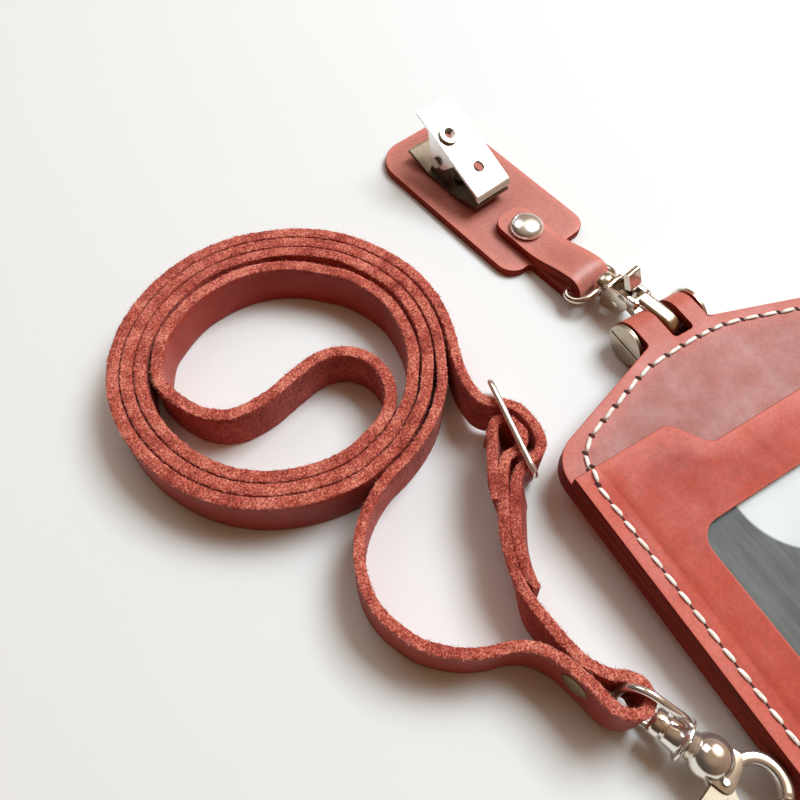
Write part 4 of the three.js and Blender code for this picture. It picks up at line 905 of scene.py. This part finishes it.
EAR_BEND_Y = ROLL_Y - 1.0
ROLL_PATH = [
    (EAR_BEND_Y, BACK_Z + PANEL_T / 2), *arc(ROLL_Y, ROLL_Z, POST_R + SEAT + PANEL_T / 2, 90, -124, 24),
    (64.6, PANEL_T / 2 - 0.75), (62.6, PANEL_T / 2 - 0.02), (TONGUE_END_Y + 0.2, PANEL_T / 2),
]
roll_length = sum(dist(a, b) for a, b in zip(ROLL_PATH, ROLL_PATH[1:]))
ear_end = EAR_BEND_Y + roll_length - 0.3
back_outline = rounded([
    *feet, shoulders[0], (GABLE_X, GABLE_Y, 2.0), (EAR_RIGHT, GABLE_Y + 0.5, 1.2), (EAR_RIGHT, ear_end, 0.5),
    (EAR_GAP[1], ear_end, 0.5), (EAR_GAP[1], EAR_ROOT_Y, 0.9), (EAR_GAP[0], EAR_ROOT_Y, 0.9),
    (EAR_GAP[0], ear_end, 0.5), (EAR_LEFT, ear_end, 0.5), (EAR_LEFT, GABLE_Y + 0.5, 1.0),
    (-GABLE_X, GABLE_Y, 2.0), shoulders[1],
])
plate(
    "back_leather", back_outline, BACK_Z, BACK_Z + PANEL_T, [gable_red_with_painted_sheen, raw_edge, raw_edge], HOLDER, "holder",
    "smooth_leather", ("back_panel",), top=[(0.5, 0)], step=0.9, grid=1.7, edge=0.09,
    bend=bender(ROLL_PATH, EAR_BEND_Y, BACK_Z + PANEL_T / 2),
)


DIP_SHIFT = 3.5


def dip(side):
    """One slope of the pocket's mouth; the right one stands a little further out."""
    line = []
    for t in (i / 16 for i in range(17)):
        drop = (1 - cos(pi * t)) / 2
        x = side * (17 - 6.5 * t) + (DIP_SHIFT if side > 0 else 0)
        line.append((x, FRONT_TOP_Y + (FRONT_DIP_Y - FRONT_TOP_Y) * drop))
    return line if side > 0 else line[::-1]


front_outline = rounded([*feet, (HALF_WIDTH, FRONT_TOP_Y), *dip(1), *dip(-1), (-HALF_WIDTH, FRONT_TOP_Y)])
window = box_outline(-WINDOW_HALF, WINDOW_LOW_Y, WINDOW_HALF, WINDOW_HIGH_Y, 4)


def seam_line(amount, top_y=51.4):
    """Open line along the sides and the foot, a given way in from the edge."""
    x, y, r = HALF_WIDTH - amount, BOTTOM_Y + amount, CORNER_R - amount
    line = [(-x, top_y + (y + r - top_y) * k / 60) for k in range(60)]
    line += [(-x + r + a, y + r + b) for a, b in arc(0, 0, r, 180, 270, 8)]
    line += [(-x + r + (2 * (x - r)) * k / 40, y) for k in range(1, 40)]
    line += [(x - r + a, y + r + b) for a, b in arc(0, 0, r, 270, 360, 8)]
    line += [(x, y + r + (top_y - y - r) * (k + 1) / 60) for k in range(60)]
    return line


SEAM_INSET = 2.65
SEAM_PRESS = [(-0.75, 0.0), (0, -0.15), (0.75, 0.0), (1.7, 0.02), (2.1, -0.17), (2.5, -0.03)]
seam_creases = [(seam_line(SEAM_INSET + away), drop) for away, drop in SEAM_PRESS]
POCKET_HOLLOW = 1.5


def pocket_side(p):
    """How much the front panel is hollowed from below over the pocket."""
    return POCKET_HOLLOW if abs(p.x) < 28.2 and p.y > -48.5 else 0.0


plate(
    "front_leather", front_outline, POCKET_Z + 0.02, FRONT_TOP_Z, [front_red, raw_edge, pale_edge], HOLDER,
    "holder", "smooth_leather", ("front_panel",), holes=[window], top=[(0.5, 0)],
    hole_top=[(0.5, 0), (1.2, 0)], grid=3.2, ripple=0.22, edge=0.2, creases=seam_creases, hollow=pocket_side,
    hole_low=POCKET_Z,
)

# Insert and film
plate(
    "card_insert", box_outline(-27, -45.7, 27, 40.3, 3.2), POCKET_Z + SEAT, POCKET_Z + SEAT + 0.4,
    [card_print] * 3, HOLDER, "card", "card", ("insert_card",), top=[(0.2, 0)], grid=6, edge=0.08,
)
plate(
    "film_sheet", box_outline(-27.2, -44.7, 27.2, 37.4, 2), 4.9, 5.1, [film] * 3, HOLDER, "holder",
    "clear_film", ("window_film",), top=[(0.4, 0)], grid=4, edge=0.05, ripple=0.1,
)


# Stitches
def stitches(name, runs, z, side, stands_for=()):
    """Stitches between pricked holes, each dipping into the leather at both ends; each hole is a flat dark
    slit of painted shade.
    """
    sewn, holes = Shape(), Shape()
    slant = radians(-62)
    slit = Vector((cos(slant), sin(slant), 0))
    thin = Vector((-slit.y, slit.x, 0))
    for run in runs:
        points = [Vector((x, y, z)) for x, y in run]
        for a, b in zip(points, points[1:]):
            along = (b - a).normalized()
            across = Vector((-along.y, along.x, 0))
            seed = noise.noise(Vector((a.x, a.y, 7.0)))
            lean = across * (0.1 + 0.1 * seed)
            rings = []
            for s in (k / 5 - 1 for k in range(11)):
                height = 0.4 * (1 - abs(s) ** 5) - 0.14
                fat = 0.39 * (1 - 0.5 * abs(s) ** 3) * (1 + 0.08 * seed)
                reach = along * (s * ((b - a).length / 2 - 0.36))
                p = (a + b) / 2 + reach + lean * s + Vector((0, 0, side * height))
                rings.append([
                    p + across * (fat * u) + Vector((0, 0, side * 0.6 * fat * v)) for u, v in circle(1, 8)
                ])
            sewn.rings(rings)
        # Painted shade: a flat dark slit at each hole.
        for p in points:
            centre = p + Vector((0, 0, side * 0.03))
            holes.faces.append(tuple(range(len(holes.verts), len(holes.verts) + 12)))
            holes.verts += [centre + slit * (0.66 * u) + thin * (0.4 * v) for u, v in circle(1, 12)]
    sewn.piece(name, thread, HOLDER, "holder", "thread", stands_for, 80)
    holes.piece(name + "_hole_shading", painted_hole_shade, HOLDER, "holder", "smooth_leather", (), 80)


front_seam = evenly([Vector(p) for p in seam_line(SEAM_INSET, 49.3)], count=79)
half_gable = [
    (9.1, 63.5), (12.9, 62.6), (16.6, 61.4), (20.3, 60.2), (24, 59), (27.6, 57.7), (30.7, 55.6),
    (32.2, 52.6),
]
mirrored = [(-x, y) for x, y in half_gable[::-1]]
gable_seam = [*mirrored, (-5.1, 63.7), (-1.1, 63.9), (2.9, 63.9), (6, 63.8), *half_gable]
stitches("stitching_front", [front_seam], FRONT_TOP_Z - 0.14, 1, ("stitching",))
stitches("stitching_gable", [gable_seam], BACK_Z + PANEL_T, 1)
steps = [[(side * 32.3, 52.4), (side * 33.5, 49.4)] for side in (-1, 1)]
stitches("stitching_step", steps, FRONT_TOP_Z - 0.05, 1)
rear_gable = [[(x, y) for x, y in gable_seam if x < -7], [(x, y) for x, y in gable_seam if x > 8.9]]
stitches("stitching_rear", [*rear_gable, front_seam], 0.12, -1)

# Clip tab, one strip of leather folded round the clip's eye
TAB_T = 1.9
FOLD_Y = 27.0
EYE_BAR = (18.3, 3.3)
NECK = (-1.4 - 4.4, -1.4 + 4.4)
TAB = (0.1 - 11.7, 0.1 + 11.7)
fold_r = 0.9 + 0.45 + TAB_T / 2
upper_z = TAB_T + SEAT + TAB_T / 2
fold_path = [
    (FOLD_Y, TAB_T / 2), (EYE_BAR[0] + 5.5, TAB_T / 2), (EYE_BAR[0] + 3, EYE_BAR[1] - fold_r + 0.1),
    *arc(*EYE_BAR, fold_r, 285, 75, 16), (EYE_BAR[0] + 3.4, EYE_BAR[1] + fold_r - 0.6),
    (EYE_BAR[0] + 8.5, upper_z + 0.4), (EYE_BAR[0] + 11, upper_z), (41.4, upper_z),
]
neck_end = FOLD_Y - sum(dist(a, b) for a, b in zip(fold_path, fold_path[1:])) + 0.1
tab_outline = rounded([
    (TAB[0], 74.2, 7), (TAB[0], 28.6, 4), (NECK[0], 28.6, 1.2), (NECK[0], neck_end, 3.2),
    (NECK[1], neck_end, 3.2), (NECK[1], 28.6, 1.2), (TAB[1], 28.6, 4), (TAB[1], 74.2, 7),
])
plate(
    "tab_leather", tab_outline, 0, TAB_T, [tab_red_with_painted_sheen, raw_edge, raw_edge], CLIP, "tab", "smooth_leather",
    ("clip_tab",), top=[(0.5, 0), (1.0, 0)], step=0.8, grid=1.8, ripple=0.08,
    bend=bender(fold_path, FOLD_Y, TAB_T / 2, True),
)

# Adjuster ring
ring_corners = [(-38.29, 74.09, 12.5), (-42.21, 55.24, 12.5), (-38.05, 58.89, 0.9), (-33.04, 78.33, 0.9)]
ring_corners = [Vector(p) for p in ring_corners]
ring_across = (ring_corners[1] - ring_corners[0]).cross(ring_corners[3] - ring_corners[0])
Shape().swept(rounded_loop(ring_corners, 2.4), circle(0.58), ring_across, True).piece(
    "ring_wire", polished, TABLE, "holder", "nickel", ("adjuster_ring",),
)

# Screw that closes the post
HEAD_R = 4.35
screw_x = EAR_LEFT - SEAT
screw = Shape().turned(
    (screw_x, ROLL_Y, ROLL_Z), (-1, 0, 0),
    [(0, 0), (0, 4), (0.08, 4.25), (0.22, HEAD_R), (0.46, HEAD_R), (0.56, 4.29), (0.58, 4.1), (0.58, 0)],
)
shank = [(0, 0), (0, 1.3), (7.4, 1.3), (7.6, 1.1), (7.6, 0)]
screw.turned((screw_x + 0.1, ROLL_Y, ROLL_Z), (1, 0, 0), shank, 24)
to_face = Matrix(((0, 0, -1, screw_x), (-1, 0, 0, ROLL_Y), (0, 1, 0, ROLL_Z), (0, 0, 0, 1)))
for turn in (0, 180):
    half_disc = [Vector(p) for p in arc(0, 0, 4.27, 2.6 + turn, 177.4 + turn, 30)]
    screw.slab(half_disc, 0.55, 0.88, 0.1, to_face)
barrel_end = EAR_RIGHT + SEAT - EAR_LEFT
barrel = Shape().turned((EAR_LEFT, ROLL_Y, ROLL_Z), (1, 0, 0), [
    (0, 0), (0, 2.1), (0.1, POST_R), (barrel_end, POST_R), (barrel_end, 4.2), (barrel_end + 0.15, 4.9),
    (barrel_end + 0.75, 4.9), (barrel_end + 0.95, 4.6), (barrel_end + 1.05, 3.2), (barrel_end + 1.1, 0),
])
barrel.piece("post_tube", nickel, HOLDER, "holder", "nickel", ("post_barrel",), 30)
screw.piece("post_screw_head", screw_face, HOLDER, "holder", "steel", ("post_screw",), 30)

# Clip hook: tongue over the post and the bracket behind it
TONGUE_R = 3.5
hook = Shape()
tongue = [(0, y, POST_Z + TONGUE_R) for y in (5.6, 3.6, 1.8)]
tongue += [(0, a, b) for a, b in arc(0, POST_Z, TONGUE_R, 90, 212, 26)]


def blunt_tip(t):
    """The tongue's width along it, rounded off over the last tenth."""
    return 1.0 if t < 0.9 else sqrt(max(0.02, 1 - ((t - 0.9) / 0.1) ** 2))


hook.swept(tongue, pill(1.72, 1.0, 0.95), (1, 0, 0), size=blunt_tip)
upright = Matrix(((0, 0, 1, 0), (1, 0, 0, 0), (0, 1, 0, 0), (0, 0, 0, 1)))
wall = rounded([(7.9, 2.3, 0.5), (12.8, 1.6, 0.9), (13.1, 6.9, 0.8), (8.2, 8.5, 0.6), (6.4, 6.0, 0.8)], 6)
for side in (-1, 1):
    hook.slab(wall, *sorted((side * 1.65, side * 2.45)), 0.18, upright)
    hook.slab(box_outline(side * 1.85 - 0.6, 5.4, side * 1.85 + 0.6, 9.6, 0.3, 4), 6.8, 8.5, 0.25)
bridge = rounded([(-2.45, 4.9, 0.7), (2.45, 4.9, 0.7), (2.45, 6.3, 0.3), (-2.45, 6.3, 0.3)], 5)
hook.slab(bridge, 6.7, 8.55, 0.3)
back_plate = rounded([(-2.3, 11.9, 0.2), (2.3, 11.9, 0.2), (2.3, 12.8, 0.3), (-2.3, 12.8, 0.3)], 4)
hook.slab(back_plate, 1.9, 7.4, 0.2)
pin = Shape().turned((-2.62, 9.4, 4.6), (1, 0, 0), [
    (0, 0), (0, 0.45), (0.1, 0.72), (0.25, 0.72), (5.0, 0.72), (5.14, 0.72), (5.24, 0.45), (5.24, 0),
], 24)
pin.piece("bracket_pin", cast_nickel, HOOK, "hook", "steel", ("hook_pin",))
hook.piece("hook_frame", cast_nickel, HOOK, "hook", "nickel", ("hook_body",))

# Eye of the clip hook, with its collar
EYE_U, EYE_HALF = -1.2, 5.8
eye_side = [(-EYE_HALF, 17.4, 3.3), (-EYE_HALF + 0.1, 15.6, 3.7), (-EYE_HALF + 1.5, 14.3, 4.2)]
eye_loop = [
    (EYE_U - 3, 18.3, 3.3), (EYE_U - EYE_HALF + 0.7, 18.3, 3.3), *((EYE_U + a, b, c) for a, b, c in eye_side),
    (-1.6, 13.9, 4.6), (1.0, 13.9, 4.6), *((EYE_U - a, b, c) for a, b, c in eye_side[::-1]),
    (EYE_U + EYE_HALF - 0.7, 18.3, 3.3), (EYE_U + 3, 18.3, 3.3),
]
eye = Shape().swept(smooth_path([*eye_loop, eye_loop[0]], 0.5)[:-1], circle(0.72), (0, 0.2, 1), True)
eye.turned((0, 0, 4.6), (0, 1, 0), [
    (12.95, 0), (12.95, 1.9), (13.05, 2.3), (13.25, 2.6), (13.75, 2.7), (13.9, 2.45), (14.05, 2.45),
    (14.2, 2.7), (14.9, 2.6), (15.2, 2.3), (15.35, 1.8), (15.35, 0),
])
eye.piece("hook_ring", cast_nickel, HOOK, "eye", "nickel", ("hook_eye",))

# Eye of the swivel hook: wire loop, rivet barrel and collar
eye_wire = [
    (-15.4, 0, 7.5), (-15, 0.3, 10.4), (-13.6, 0.6, 11.9), (-12, 0.8, 12.4), (-9.4, 0.9, 11.9),
    (-7.6, 1.2, 10.8), (-6, 1.6, 9.4), (-4.8, 1.6, 8), (-4.6, 1.1, 6.8), (-4.6, 0.5, 5.6),
    (-4.7, 0.2, 4.2), (-5.4, 0, 2.7), (-7, 0, 1.4), (-9.4, 0, 0.95), (-12.6, 0, 0.95), (-14.2, 0, 1.9),
    (-15.1, 0, 4.4),
]
swivel_eye = Shape().swept(smooth_path([*eye_wire, eye_wire[0]], 0.5)[:-1], circle(0.66), (0, 1, 0), True)
swivel_eye.turned((0, 0, 5.6), (1, 0, 0), [
    (-9.5, 0), (-9.5, 1.5), (-9.3, 1.95), (-8.9, 2.15), (-7.75, 2.2), (-7.5, 1.75), (-7.3, 1.75), (-7.05, 2.2),
    (-5.9, 2.35), (-4.8, 2.6), (-4.5, 2.9), (-4.45, 3.3), (-4.3, 3.45), (-4.05, 3.45), (-3.9, 3.3),
    (-3.8, 2.8), (-3.8, 0.8), (-2, 0.8), (-2, 0),
])
swivel_eye.piece("swivel_eye", polished, LOBSTER, "holder", "nickel", ("lanyard_eye",))

# Body of the swivel hook: ball, cheeks and jaw
BALL_R = 3.5
ball = [(BALL_R * sin(radians(a)), BALL_R * cos(radians(a))) for a in range(-48, 90, 6)]
body = Shape().turned((0, 0, 5.6), (1, 0, 0), [
    (-BALL_R, 0), (-BALL_R, 1.6), (-3.4, 2), (-3, 2.3), (-2.75, 2.2), *ball, (BALL_R, 0),
], 48)
jaw = [(a, b, 5.6) for a, b in arc(7.2, 0, 4.15, 168, 16, 40)]
body.swept(jaw, pill(1.2, 0.98, 0.72), (0, 0, 1), size=lambda t: 1.0 if t < 0.97 else 0.93)
cheek = rounded([(0.4, -3.3, 1.0), (4.5, -3.6, 1.2), (4.3, 0.8, 0.8), (3.6, 2.8, 1.0), (1.0, 2.6, 0.5)], 6)
for low, high in ((4.35, 4.75), (6.45, 6.85)):
    body.slab(cheek, low, high, 0.16)
body.piece("swivel_body", polished, LOBSTER, "swivel_hook", "nickel", ("lobster_body",), 34)

# Metal that keeps its solid
# Painted light and shade: the badge clip's upper arm and the cap rivet take a lit copy of the nickel, its
# lower arm and rivet the shaded copy, and the swivel hook's gate a shade-darkened copy.
plain_metal = {
    "hook_lever": cast_nickel, "hook_spring": steel, "cap_rivet": lit_nickel_copy,
    "badge_upper_arm": lit_nickel_copy, "badge_eyelet": nickel, "badge_lower_arm": shaded, "badge_pin": steel,
    "badge_spring": steel, "badge_rivet": shaded, "lobster_gate": shade_darkened_nickel, "lobster_pin": steel,
}
EASED_EDGES = {
    "WELD": {"merge_threshold": 1e-6},
    "DECIMATE": {"decimate_type": "DISSOLVE", "angle_limit": radians(2)},
    "BEVEL": {
        "width": 0.00014, "segments": 2, "limit_method": "ANGLE", "angle_limit": radians(38),
        "harden_normals": True,
    },
    "WEIGHTED_NORMAL": {"keep_sharp": True},
}
for name, material in plain_metal.items():
    node = nodes[name]
    mesh = node.data
    mesh.materials.clear()
    mesh.materials.append(material)
    if mesh.attributes.get("custom_normal"):
        mesh.attributes.remove(mesh.attributes["custom_normal"])
    mesh.polygons.foreach_set("use_smooth", [True] * len(mesh.polygons))
    for kind, settings in EASED_EDGES.items():
        modifier = node.modifiers.new(kind.lower(), kind)
        for setting, value in settings.items():
            setattr(modifier, setting, value)

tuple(strap_path[0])

# Floor and light
floor_mesh = bpy.data.meshes.new("floor")
floor_mesh.from_pydata([(-3, -3, 0), (3, -3, 0), (3, 3, 0), (-3, 3, 0)], [], [(0, 1, 2, 3)])
floor = add_object("floor", floor_mesh)
board = Nodes("table")
floor_mesh.materials.append(board.finish(
    Base_Color=board.ramp(board.noise(3, 3), [(0.3, (0.77, 0.77, 0.765)), (0.7, (0.8, 0.8, 0.795))]),
    Roughness=0.6, Specular_IOR_Level=0.3, Normal=board.bump(board.noise(500, 3), 0.06, 0.0002),
))

# Surroundings: warm dark to warm light from side to side, a warm ceiling and a pale patch round the window
KEY = Vector((0.98, 0.2, 1.5))
world = bpy.data.worlds.new("studio")
bpy.context.scene.world = world
sky = Sky(world)
side_shades = [(0.0, (0.12, 0.062, 0.032)), (1.0, (1.0, 0.56, 0.3))]
sideways = sky.ramp(sky.level(sky.axis(0), -0.9, 0.9), side_shades)
ceiling = sky.mix(sky.level(sky.axis(2), 0.55, 0.98, ease="SMOOTHSTEP"), sideways, (0.9, 0.56, 0.32))
to_window = sky.add("ShaderNodeVectorMath", {0: sky.where, 1: KEY.normalized()}, operation="DOT_PRODUCT")
round_window = sky.level(to_window.outputs["Value"], 0.85, 0.97, ease="SMOOTHSTEP")
sky.put(sky.shader.inputs["Color"], sky.mix(round_window, ceiling, (4.2, 3.4, 2.5)))
sky.put(sky.shader.inputs["Strength"], 0.33)


def lamp(name, direction, distance, size, power, colour):
    """A square lamp that faces the middle of the part."""
    data = bpy.data.lights.new(name, "AREA")
    data.size, data.energy, data.color = size, power, colour
    light = add_object(name, data)
    toward = Vector(direction).normalized()
    light.location = Vector((-0.03, 0, 0)) + toward * distance
    light.rotation_mode = "QUATERNION"
    light.rotation_quaternion = toward.to_track_quat("Z", "Y")


lamp("window", KEY, 0.85, 0.42, 7.75, (0.8, 0.925, 1.0))
lamp("fill", (-0.05, 0.95, 1.0), 1.05, 0.6, 1.9, (0.9, 0.96, 1.0))

view = bpy.context.scene.view_settings
view.view_transform = "Standard"
view.look = "None"
